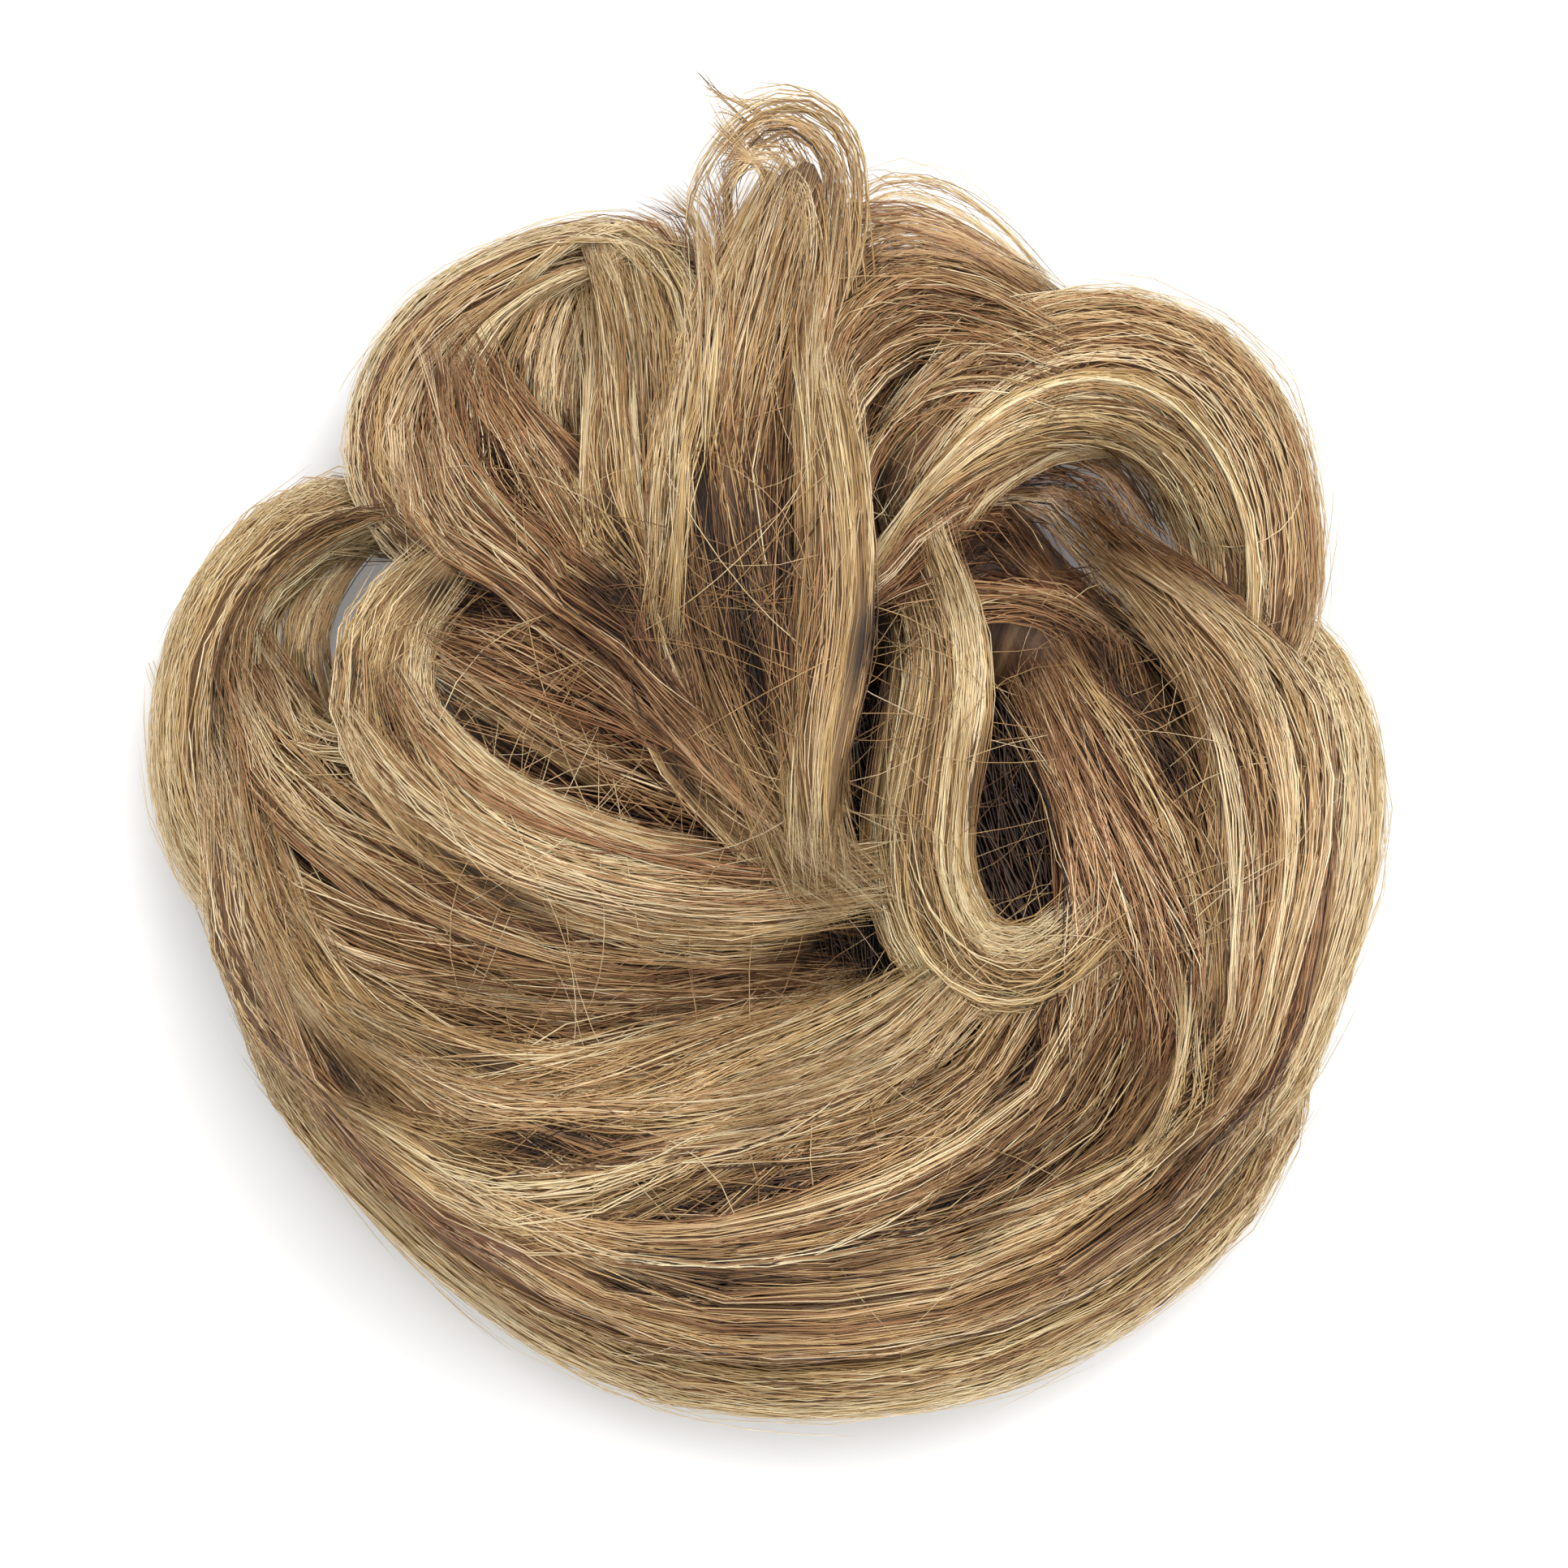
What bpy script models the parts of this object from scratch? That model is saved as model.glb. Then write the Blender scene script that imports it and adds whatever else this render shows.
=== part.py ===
"""Top knot hairpiece: a messy bun of looped locks on a ring of wefted hair, lying on a flat surface.

The ring of hair goes round an open hollow, where the wearer's own knot goes in from below. The locks
are laid one after another, each on the pile of those before it, as the real ones are pinned.
Metres, +Z up, with the floor at z = 0 and the origin under the middle of the bun.
"""
import math
from collections import namedtuple

import bpy
import numpy as np

MM = 0.001

# Overall form: lengths along the floor follow HALF_SPAN and heights follow BUN_HEIGHT
HALF_SPAN = 75.0 * MM
BUN_HEIGHT = 58.0 * MM

# Ring of wefted hair and the hollow in it
HOLLOW_RADIUS = 20.0 * MM
HOLLOW_CENTRE = (0.26 * HALF_SPAN, -0.07 * HALF_SPAN)
SPOKES = 48

# Stretch band inside the hollow
BAND_HEIGHT = 5.0 * MM
BAND_WALL = 3.0 * MM
BAND_LIFT = 3.0 * MM
SEAT_GAP = 0.3 * MM

# Locks: LOCK_COLUMNS are the places across half a width where their thickness is set, and SINK is the
# share of their thickness that the middle keeps above the highest hair under them
LOCK_WIDTH = 16.0 * MM
LOCK_THICKNESS = 10.0 * MM
LOCK_GAP = 0.5 * MM
THINNEST = 1.6 * MM
STATION_STEP = 6.0 * MM
LOCK_COLUMNS = (-1.0, -0.62, 0.0, 0.62, 1.0)
EDGE_ROUNDING = 0.9
END_FULLNESS = 0.6
SINK = 0.04
TIGHTEST_BEND = 0.75

# How finely routes are traced and how a lock's underside is fitted to the pile
ROUTE_SAMPLES = 24
FEWEST_STATIONS = 8
FITTING_STEPS = 9
FITTING_ROUNDS = 40
PILE_CELL = 0.5 * MM
PILE_REACH = 1.6 * HALF_SPAN
LEAST_AREA = 1e-12
RIM_TOLERANCE = 0.02
SHARP_ANGLE = math.radians(50)

Section = namedtuple("Section", "angle reach crown")
BASE_SECTIONS = (
    Section(0, 0.57, 0.58),
    Section(30, 0.52, 0.58),
    Section(60, 0.52, 0.58),
    Section(90, 0.70, 0.58),
    Section(120, 0.74, 0.58),
    Section(150, 0.80, 0.60),
    Section(180, 0.94, 0.60),
    Section(210, 0.87, 0.58),
    Section(240, 0.77, 0.58),
    Section(270, 0.69, 0.58),
    Section(300, 0.61, 0.58),
    Section(330, 0.57, 0.58),
)

# Cross-section of the ring: out runs from the hollow's wall to the section's reach, up to its crown
Profile = namedtuple("Profile", "out up")
BASE_PROFILE = (
    Profile(0.00, 0.00),
    Profile(0.84, 0.00),
    Profile(0.95, 0.14),
    Profile(1.00, 0.38),
    Profile(0.96, 0.64),
    Profile(0.84, 0.85),
    Profile(0.62, 0.98),
    Profile(0.38, 1.00),
    Profile(0.14, 0.94),
    Profile(0.00, 0.80),
)

# Colours of the hair, from its pale rims to the shade between the locks
BLONDE = (0.60, 0.45, 0.26, 1.0)
HONEY = (0.42, 0.27, 0.13, 1.0)
AUBURN = (0.33, 0.17, 0.08, 1.0)
BROWN = (0.14, 0.07, 0.04, 1.0)
BAND_CREAM = (0.50, 0.38, 0.24, 1.0)

# One row for each lock, in the order in which they are laid. Width and thickness are shares of
# LOCK_WIDTH and LOCK_THICKNESS, root and tip the share left at the ends. The route has x and y as
# shares of HALF_SPAN and the least height of the middle as a share of BUN_HEIGHT.
Lock = namedtuple("Lock", "name colour width thickness root tip route")
LOCKS = (
    Lock("lower_rim_lock", BLONDE, 1.05, 2.4, 0.4, 0.4, (
        (0.84, -0.26, 0.32), (0.80, -0.50, 0.28), (0.65, -0.69, 0.26), (0.40, -0.83, 0.26),
        (0.10, -0.88, 0.26), (-0.16, -0.86, 0.26), (-0.39, -0.75, 0.27), (-0.60, -0.58, 0.28),
        (-0.76, -0.40, 0.29), (-0.84, -0.18, 0.32))),
    Lock("left_outer_curl", BLONDE, 0.80, 2.4, 0.4, 0.3, (
        (-0.58, 0.47, 0.36), (-0.72, 0.49, 0.33), (-0.85, 0.39, 0.32), (-0.92, 0.24, 0.31),
        (-0.93, 0.07, 0.31), (-0.88, -0.07, 0.34), (-0.75, -0.19, 0.40), (-0.52, -0.28, 0.50),
        (-0.20, -0.31, 0.50), (0.06, -0.26, 0.52))),
    Lock("right_outer_lock", BLONDE, 0.90, 2.3, 0.35, 0.4, (
        (0.76, 0.34, 0.36), (0.87, 0.24, 0.32), (0.92, 0.10, 0.30), (0.91, -0.06, 0.29),
        (0.86, -0.24, 0.30), (0.80, -0.42, 0.36), (0.68, -0.58, 0.44))),
    Lock("upper_back_lock", HONEY, 0.90, 2.0, 0.5, 0.4, (
        (0.11, 0.56, 0.46), (0.13, 0.74, 0.38), (0.24, 0.83, 0.34), (0.38, 0.82, 0.32),
        (0.50, 0.76, 0.30))),
    Lock("upper_right_curl", HONEY, 1.25, 2.2, 0.4, 0.4, (
        (0.19, 0.38, 0.58), (0.27, 0.56, 0.50), (0.42, 0.69, 0.42), (0.59, 0.72, 0.36),
        (0.71, 0.65, 0.34), (0.78, 0.52, 0.33), (0.80, 0.36, 0.36), (0.77, 0.20, 0.42))),
    Lock("upper_left_curl", HONEY, 0.85, 2.3, 0.4, 0.3, (
        (-0.08, 0.86, 0.42), (-0.26, 0.90, 0.36), (-0.42, 0.85, 0.33), (-0.54, 0.76, 0.32),
        (-0.60, 0.63, 0.32), (-0.57, 0.51, 0.38), (-0.46, 0.42, 0.46), (-0.31, 0.31, 0.52),
        (-0.16, 0.16, 0.56))),
    Lock("lower_left_lock", HONEY, 1.05, 1.1, 0.2, 0.2, (
        (-0.87, 0.04, 0.40), (-0.82, -0.20, 0.44), (-0.68, -0.38, 0.46), (-0.45, -0.50, 0.48),
        (-0.20, -0.54, 0.48), (0.02, -0.52, 0.48))),
    Lock("lower_outer_lock", HONEY, 1.15, 1.2, 0.3, 0.3, (
        (0.70, -0.22, 0.48), (0.68, -0.45, 0.46), (0.56, -0.60, 0.44), (0.34, -0.73, 0.44),
        (0.07, -0.78, 0.44), (-0.19, -0.76, 0.44), (-0.44, -0.64, 0.44), (-0.64, -0.46, 0.44),
        (-0.77, -0.26, 0.44))),
    Lock("lower_middle_lock", AUBURN, 1.15, 1.1, 0.3, 0.3, (
        (0.50, -0.18, 0.52), (0.45, -0.39, 0.52), (0.27, -0.55, 0.50), (0.01, -0.64, 0.48),
        (-0.26, -0.66, 0.48), (-0.50, -0.57, 0.46), (-0.70, -0.40, 0.46))),
    Lock("lower_inner_lock", BLONDE, 1.05, 1.0, 0.35, 0.2, (
        (0.32, -0.27, 0.54), (0.19, -0.37, 0.54), (0.00, -0.43, 0.54), (-0.20, -0.48, 0.52),
        (-0.42, -0.47, 0.50), (-0.63, -0.36, 0.48))),
    Lock("left_inner_lock", AUBURN, 1.15, 1.1, 0.2, 0.35, (
        (-0.84, 0.24, 0.40), (-0.74, 0.06, 0.48), (-0.50, -0.10, 0.54), (-0.18, -0.20, 0.56),
        (0.08, -0.22, 0.58))),
    Lock("right_fan_lock", AUBURN, 1.15, 1.1, 0.3, 0.3, (
        (0.47, 0.24, 0.54), (0.56, 0.06, 0.54), (0.64, -0.10, 0.52), (0.69, -0.27, 0.50),
        (0.66, -0.45, 0.48))),
    Lock("right_inner_lock", HONEY, 1.00, 1.1, 0.15, 0.2, (
        (0.56, 0.44, 0.50), (0.71, 0.31, 0.48), (0.80, 0.15, 0.46), (0.83, -0.02, 0.44),
        (0.81, -0.20, 0.44), (0.76, -0.40, 0.44), (0.60, -0.56, 0.46))),
    Lock("crown_lock", BROWN, 1.10, 1.0, 0.25, 0.3, (
        (-0.56, 0.30, 0.46), (-0.42, 0.24, 0.50), (-0.24, 0.14, 0.54), (-0.05, 0.02, 0.56),
        (0.06, -0.07, 0.56))),
    Lock("upper_left_inner_lock", AUBURN, 1.00, 1.1, 0.2, 0.3, (
        (-0.50, 0.74, 0.42), (-0.45, 0.61, 0.46), (-0.36, 0.49, 0.50), (-0.25, 0.36, 0.54),
        (-0.10, 0.15, 0.58))),
    Lock("sweep_lock", BLONDE, 0.90, 1.1, 0.25, 0.4, (
        (-0.50, 0.42, 0.52), (-0.60, 0.31, 0.50), (-0.62, 0.17, 0.50), (-0.54, 0.05, 0.54),
        (-0.42, -0.04, 0.58), (-0.22, -0.11, 0.62), (-0.02, -0.13, 0.64), (0.15, -0.11, 0.62))),
    Lock("tuft_loop", BLONDE, 0.32, 0.5, 0.6, 0.6, (
        (-0.06, 0.80, 0.54), (-0.11, 0.98, 0.50), (-0.05, 1.10, 0.46), (0.04, 1.15, 0.44),
        (0.12, 1.09, 0.46), (0.13, 0.94, 0.50), (0.08, 0.78, 0.56))),
    Lock("front_fall_lock", BLONDE, 0.90, 1.1, 0.3, 0.4, (
        (-0.27, 0.93, 0.48), (-0.22, 0.80, 0.56), (-0.21, 0.60, 0.64), (-0.19, 0.40, 0.66),
        (-0.14, 0.20, 0.68), (-0.04, 0.03, 0.68), (0.09, -0.09, 0.64))),
    Lock("tuft_lock", HONEY, 1.20, 1.1, 0.25, 0.35, (
        (0.07, 1.06, 0.44), (0.02, 0.91, 0.52), (-0.03, 0.72, 0.62), (-0.06, 0.53, 0.68),
        (-0.03, 0.33, 0.72), (0.01, 0.13, 0.72), (0.06, -0.04, 0.66))),
    Lock("centre_fall_lock", BLONDE, 0.60, 0.8, 0.4, 0.4, (
        (0.09, 0.68, 0.62), (0.11, 0.50, 0.68), (0.11, 0.30, 0.72), (0.08, 0.10, 0.72),
        (0.08, -0.04, 0.68))),
    Lock("knot_lock", BLONDE, 0.85, 0.9, 0.4, 0.4, (
        (0.23, 0.45, 0.62), (0.28, 0.26, 0.70), (0.26, 0.06, 0.72), (0.25, -0.11, 0.70),
        (0.32, -0.24, 0.66), (0.44, -0.26, 0.62), (0.55, -0.17, 0.60))),
)


class Pile:
    """The height of all that is laid so far, on a fine square grid over the floor."""

    def __init__(self):
        self.line = np.arange(-PILE_REACH, PILE_REACH, PILE_CELL)
        self.top = np.zeros((len(self.line), len(self.line)))
        self.padded = self.top

    def cells(self, along):
        """The grid cells nearest to some lengths along either axis."""
        return np.clip(np.rint((along + PILE_REACH) / PILE_CELL).astype(int), 0, len(self.line) - 1)

    def height(self, x, y):
        return self.padded[self.cells(x), self.cells(y)]

    def pad(self):
        """Spread every height to the cells beside it, so that a lock keeps clear of steep sides too."""
        wide = np.pad(self.top, 1, mode="edge")
        size = len(self.line)
        shifts = [wide[i:i + size, j:j + size] for i in range(3) for j in range(3)]
        self.padded = np.maximum.reduce(shifts)

    def add_disc(self, centre, radius, height):
        """Raise the pile to one height over a round patch."""
        x, y = np.meshgrid(self.line - centre[0], self.line - centre[1], indexing="ij")
        inside = np.hypot(x, y) <= radius
        self.top[inside] = np.maximum(self.top[inside], height)
        self.pad()

    def add_triangles(self, points, triangles):
        """Raise the pile to the highest of some triangles."""
        for corners in triangles:
            a, b, c = points[list(corners)]
            area = (b[0] - a[0]) * (c[1] - a[1]) - (c[0] - a[0]) * (b[1] - a[1])
            if abs(area) < LEAST_AREA:
                continue
            low = self.cells(np.minimum(np.minimum(a, b), c)[:2])
            high = self.cells(np.maximum(np.maximum(a, b), c)[:2])
            x = self.line[low[0]:high[0] + 1, None]
            y = self.line[None, low[1]:high[1] + 1]
            share_b = ((x - a[0]) * (c[1] - a[1]) - (c[0] - a[0]) * (y - a[1])) / area
            share_c = ((b[0] - a[0]) * (y - a[1]) - (x - a[0]) * (b[1] - a[1])) / area
            shares = np.stack([share_b, share_c, 1 - share_b - share_c])
            inside = shares.min(axis=0) >= -RIM_TOLERANCE
            z = a[2] + share_b * (b[2] - a[2]) + share_c * (c[2] - a[2])
            patch = self.top[low[0]:high[0] + 1, low[1]:high[1] + 1]
            patch[inside] = np.maximum(patch[inside], z[inside])
        self.pad()


def clear_scene():
    for obj in list(bpy.data.objects):
        bpy.data.objects.remove(obj)


def make_material(name, colour, roughness):
    material = bpy.data.materials.new(name)
    material.use_nodes = True
    shader = material.node_tree.nodes["Principled BSDF"]
    shader.inputs["Base Color"].default_value = colour
    shader.inputs["Roughness"].default_value = roughness
    shader.inputs["Metallic"].default_value = 0.0
    return material


def make_object(name, points, faces, colour, roughness, parent):
    mesh = bpy.data.meshes.new(name)
    mesh.from_pydata([tuple(point) for point in points], [], faces)
    mesh.materials.append(make_material(name, colour, roughness))
    mesh.shade_smooth()
    mesh.set_sharp_from_angle(angle=SHARP_ANGLE)
    obj = bpy.data.objects.new(name, mesh)
    obj.parent = parent
    bpy.context.scene.collection.objects.link(obj)
    return obj


def cubic(before, start, end, after, share):
    """A smooth step from start to end that also heeds the value on either side of them."""
    return 0.5 * (2 * start + (end - before) * share
                  + (2 * before - 5 * start + 4 * end - after) * share ** 2
                  + (3 * start - before - 3 * end + after) * share ** 3)


def round_table(rows, angle):
    """Read a table whose rows are spaced evenly round a full turn."""
    place = angle / 360.0 * len(rows)
    row = int(math.floor(place))
    around = [np.array(rows[(row + step) % len(rows)]) for step in (-1, 0, 1, 2)]
    return cubic(*around, place - row)


def smooth_route(points, step):
    """Even stations along a smooth curve through the points."""
    points = np.array(points)
    ends = np.vstack([2 * points[0] - points[1], points, 2 * points[-1] - points[-2]])
    shares = np.linspace(0, 1, ROUTE_SAMPLES, endpoint=False)
    fine = [cubic(*ends[i:i + 4], share) for i in range(len(points) - 1) for share in shares]
    fine = np.array(fine + [points[-1]])
    travelled = np.concatenate([[0], np.cumsum(np.linalg.norm(np.diff(fine, axis=0), axis=1))])
    count = max(FEWEST_STATIONS, int(round(travelled[-1] / step)) + 1)
    stops = np.linspace(0, travelled[-1], count)
    return np.column_stack([np.interp(stops, travelled, fine[:, axis]) for axis in range(3)])


def soften(values):
    """Values with each one drawn twice towards the mean of the ones beside it."""
    for _ in range(2):
        padded = np.concatenate([values[:1], values, values[-1:]])
        values = (padded[:-2] + 2 * padded[1:-1] + padded[2:]) / 4
    return values


def widest(values):
    """The greatest of each value and the ones beside it."""
    padded = np.concatenate([values[:1], values, values[-1:]])
    return np.maximum.reduce([padded[:-2], padded[1:-1], padded[2:]])


def ring(sections):
    """Points and faces of a ring round the hollow, from one closed section of radii and heights a spoke.

    Each section runs along the bottom, up the outside, back over the top and down the inside.
    """
    points = []
    faces = []
    size = len(sections[0])
    for spoke, section in enumerate(sections):
        turn = 2 * math.pi * spoke / len(sections)
        here, there = spoke * size, (spoke + 1) % len(sections) * size
        for row, (radius, height) in enumerate(section):
            after = (row + 1) % size
            points.append((HOLLOW_CENTRE[0] + radius * math.cos(turn),
                           HOLLOW_CENTRE[1] + radius * math.sin(turn), height))
            faces.append((here + row, there + row, there + after, here + after))
    return np.array(points), faces


def make_base(parent, pile):
    """The ring of wefted hair, whose hollow is bridged in the pile so that locks cross over it."""
    sections = []
    for spoke in range(SPOKES):
        reach, crown = round_table([(row.reach, row.crown) for row in BASE_SECTIONS], 360 * spoke / SPOKES)
        width = reach * HALF_SPAN - HOLLOW_RADIUS
        sections.append([(HOLLOW_RADIUS + row.out * width, row.up * crown * BUN_HEIGHT)
                         for row in BASE_PROFILE])
    points, faces = ring(sections)
    pile.add_triangles(points, [(a, b, c) for a, b, c, d in faces])
    pile.add_triangles(points, [(a, c, d) for a, b, c, d in faces])
    brim = BASE_PROFILE[-1].up * BUN_HEIGHT * max(row.crown for row in BASE_SECTIONS)
    pile.add_disc(HOLLOW_CENTRE, HOLLOW_RADIUS + PILE_CELL, brim)
    return make_object("hair_base", points, faces, BROWN, 0.55, parent)


def make_band(parent):
    """The stretch band, seated in the hollow a little above the floor."""
    outer = HOLLOW_RADIUS * math.cos(math.pi / SPOKES) - SEAT_GAP
    inner = outer - BAND_WALL
    edge = BAND_WALL / 3
    low, high = BAND_LIFT, BAND_LIFT + BAND_HEIGHT
    section = (
        (inner, low + edge), (inner + edge, low), (outer - edge, low), (outer, low + edge),
        (outer, high - edge), (outer - edge, high), (inner + edge, high), (inner, high - edge),
    )
    points, faces = ring([section] * SPOKES)
    return make_object("elastic_band", points, faces, BAND_CREAM, 0.8, parent)


def grid_triangles(stations, columns):
    """Both triangles of every square between the stations and the columns, facing up."""
    triangles = []
    for i in range(stations - 1):
        for j in range(columns - 1):
            a, b = i * columns + j, (i + 1) * columns + j
            triangles.append((a, b, b + 1))
            triangles.append((a, b + 1, a + 1))
    return triangles


def raise_clear(x, y, low, triangles, pile):
    """Lift an underside until none of its triangles comes nearer than LOCK_GAP to the pile."""
    steps = FITTING_STEPS
    shares = [(i, j, steps - i - j) for i in range(steps + 1) for j in range(steps + 1 - i)]
    shares = np.array(shares) / steps
    corners = np.array(triangles)
    ground = pile.height(x.ravel()[corners] @ shares.T, y.ravel()[corners] @ shares.T)
    low = low.ravel().copy()
    for _ in range(FITTING_ROUNDS):
        lack = ground + LOCK_GAP - low[corners] @ shares.T
        worst = np.argmax(lack, axis=1)
        depth = np.maximum(lack[np.arange(len(corners)), worst], 0)
        weights = shares[worst] / np.sum(shares[worst] ** 2, axis=1)[:, None]
        lift = np.zeros_like(low)
        for corner in range(3):
            np.maximum.at(lift, corners[:, corner], depth * weights[:, corner])
        low += lift
    return low.reshape(x.shape)


def lock_form(lock, pile):
    """Plan, underside and top of a lock that lies on the pile, at its stations and columns."""
    scale = np.array([HALF_SPAN, HALF_SPAN, BUN_HEIGHT])
    path = smooth_route(np.array(lock.route) * scale, STATION_STEP)
    along = np.linspace(0, 1, len(path))
    ends = lock.root * (1 - along) + lock.tip * along
    swell = ends + (1 - ends) * np.sin(math.pi * along) ** END_FULLNESS
    heading = np.gradient(path[:, :2], axis=0)
    steps = np.linalg.norm(heading, axis=1)
    heading /= steps[:, None]
    turning = np.linalg.norm(np.gradient(heading, axis=0), axis=1) / steps
    half = lock.width * LOCK_WIDTH * swell / 2
    half = soften(half / np.maximum(1, half * turning / TIGHTEST_BEND))
    thick = lock.thickness * LOCK_THICKNESS * swell
    columns = np.array(LOCK_COLUMNS)
    x = path[:, 0, None] - heading[:, 1, None] * half[:, None] * columns
    y = path[:, 1, None] + heading[:, 0, None] * half[:, None] * columns
    ground = pile.height(x, y)
    rest = soften(widest(ground.max(axis=1))) + SINK * thick
    middle = soften(np.maximum(path[:, 2], rest))
    bulge = thick[:, None] / 2 * np.sqrt(1 - (EDGE_ROUNDING * columns) ** 2)
    low = np.maximum(middle[:, None] - bulge, ground + LOCK_GAP)
    low = raise_clear(x, y, low, grid_triangles(*x.shape), pile)
    high = np.maximum(middle[:, None] + bulge, low + THINNEST)
    return x, y, low, high


def lay_lock(lock, parent, pile):
    """One lock on top of the pile, closed along both edges and at both ends."""
    x, y, low, high = lock_form(lock, pile)
    stations, columns = x.shape
    under = np.column_stack([x.ravel(), y.ravel(), low.ravel()])
    over = np.column_stack([x.ravel(), y.ravel(), high.ravel()])
    top = [tuple(corner + len(under) for corner in face) for face in grid_triangles(stations, columns)]
    faces = top + [(a, c, b) for a, b, c in grid_triangles(stations, columns)]
    for i in range(stations - 1):
        right, next_right = i * columns, (i + 1) * columns
        left, next_left = right + columns - 1, next_right + columns - 1
        faces.append((right, next_right, next_right + len(under), right + len(under)))
        faces.append((next_left, left, left + len(under), next_left + len(under)))
    last = (stations - 1) * columns
    for j in range(columns - 1):
        faces.append((j + 1, j, j + len(under), j + 1 + len(under)))
        faces.append((last + j, last + j + 1, last + j + 1 + len(under), last + j + len(under)))
    points = np.vstack([under, over])
    pile.add_triangles(points, top)
    return make_object(lock.name, points, faces, lock.colour, 0.45, parent)


def centre_over_origin(parent, objects):
    """Put the middle of the whole outline over the origin."""
    points = np.vstack([[vertex.co[:2] for vertex in obj.data.vertices] for obj in objects])
    middle = (points.min(axis=0) + points.max(axis=0)) / 2
    parent.location = (-middle[0], -middle[1], 0.0)


def main():
    clear_scene()
    hairpiece = bpy.data.objects.new("hairpiece", None)
    bpy.context.scene.collection.objects.link(hairpiece)
    pile = Pile()
    pieces = [make_base(hairpiece, pile), make_band(hairpiece)]
    for lock in LOCKS:
        pieces.append(lay_lock(lock, hairpiece, pile))
    centre_over_origin(hairpiece, pieces)
    bpy.context.view_layer.update()


main()
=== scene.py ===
"""Looks of the top knot hairpiece: every lock as a body of combed hair under loose strands.

The plan of the locks repeats the routes of the solids, in hundredths of half the width of the bun, and
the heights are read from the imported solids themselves.
"""
import math
from collections import namedtuple

import bpy
import numpy as np
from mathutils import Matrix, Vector
from mathutils.bvhtree import BVHTree


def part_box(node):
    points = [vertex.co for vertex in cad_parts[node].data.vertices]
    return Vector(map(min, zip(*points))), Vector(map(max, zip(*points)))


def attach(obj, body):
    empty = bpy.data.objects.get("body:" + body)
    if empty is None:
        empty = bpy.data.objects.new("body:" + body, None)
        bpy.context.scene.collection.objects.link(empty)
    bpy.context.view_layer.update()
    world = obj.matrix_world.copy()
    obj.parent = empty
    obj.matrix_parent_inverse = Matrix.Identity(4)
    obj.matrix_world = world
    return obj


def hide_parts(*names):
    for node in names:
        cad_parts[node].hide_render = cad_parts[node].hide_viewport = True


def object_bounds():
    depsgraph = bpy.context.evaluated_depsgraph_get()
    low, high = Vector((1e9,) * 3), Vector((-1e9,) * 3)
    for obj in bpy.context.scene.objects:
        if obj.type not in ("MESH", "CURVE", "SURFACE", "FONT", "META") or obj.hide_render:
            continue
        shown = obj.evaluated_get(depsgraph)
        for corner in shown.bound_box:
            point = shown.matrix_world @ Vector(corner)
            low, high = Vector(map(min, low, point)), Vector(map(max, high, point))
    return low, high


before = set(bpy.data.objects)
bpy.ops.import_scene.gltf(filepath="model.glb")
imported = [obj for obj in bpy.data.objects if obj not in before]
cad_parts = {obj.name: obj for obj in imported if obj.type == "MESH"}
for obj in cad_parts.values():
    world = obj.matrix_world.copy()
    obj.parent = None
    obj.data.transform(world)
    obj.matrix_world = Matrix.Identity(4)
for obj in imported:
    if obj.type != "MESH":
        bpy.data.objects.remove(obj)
CAD_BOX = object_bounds()

MM = 0.001
HALF_SPAN = 75.0 * MM
ROUTE_UNITS = 100
LOCK_WIDTH = 16.0 * MM
END_FULLNESS = 0.6
TIGHTEST_BEND = 0.75
HOLLOW_SHARES = np.array([0.26, -0.07])
HOLLOW_RADIUS = 20.0 * MM
HOLLOW_CEILING = 34.6 * MM
CAP_LEVEL = 35.4 * MM
BAND_WALL = 3.0 * MM

# Fineness of the forms, and how square their cross-sections are
STATIONS = 64
COLUMNS = np.array([-0.92, -0.5, 0.0, 0.5, 0.92])
SQUARENESS = 0.8
BAND_SQUARENESS = 0.6
CORE_STATIONS = 44
CORE_SIDES = 20
CORE_SHARE = 0.90
SHORT_POINTS = 9
STRAY_POINTS = 14
TURN_A_POINT = math.radians(20)
THINNEST = 0.6 * MM
RELIEF = 0.6 * MM

# Widths of the strands, how they fray, gather and run on past a lock, and where they stop above the floor.
# A lock with more frizz than MOST_FRIZZ is strands alone, and one whose underside is lower than LOW_LOCK
# has strands further round it
STRAND_WIDTH = 0.22 * MM
FINE_WIDTH = 0.13 * MM
CAP_WIDTH = 0.42 * MM
WISP_STRANDS = 16
MOST_FRIZZ = 0.2
FRAY = 1.2 * MM
END_DIVE = 16.0 * MM
RUN_ON = 0.2
FLOOR_GAP = 0.3 * MM
LOW_LOCK = 24.0 * MM

# Shares of the strands that are loose in a lock, cross a cover or are much paler, and how far locks part
LOOSE_SHARE = 0.07
CROSSING_SHARE = 0.22
PALE_SHARE = 0.11
LOCK_PARTING = 0.35

# The grid of the pile's heights, the painted shade in it, and how covers and stray hairs lie on it
PILE_STEP = 1.2 * MM
PILE_MARGIN = 6 * PILE_STEP
SHEET_ROUNDS = 2
LEVEL_ROUNDS = 26
DEEP = 10.0 * MM
DEEP_SHADE = 0.46
GAP_SHADE = 0.72
SHEET_DROP = 0.6 * MM
BRIDGE_DROP = 1.2 * MM
COVER_FLOOR = 0.4 * MM
STRAY_LEVEL = 12.0 * MM

# The ring's strands, its body's size and painted light, the cap's direction in radians, and the gathers
# round the band
BASE_WISPS = 44
BASE_SHARE = 0.985
BASE_PAINTED_LIGHT = 0.45
CAP_HEADING = -1.25
BAND_GATHERS = 60
BAND_GATHER = 0.07

SEED = 20
BAKE_MAP = "OFBake"
# The held colour: the strands' hair colour with painted shade in it, and the bodies' painted shade
COLOUR_NAME = "hair_colour_and_painted_shade"

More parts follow.
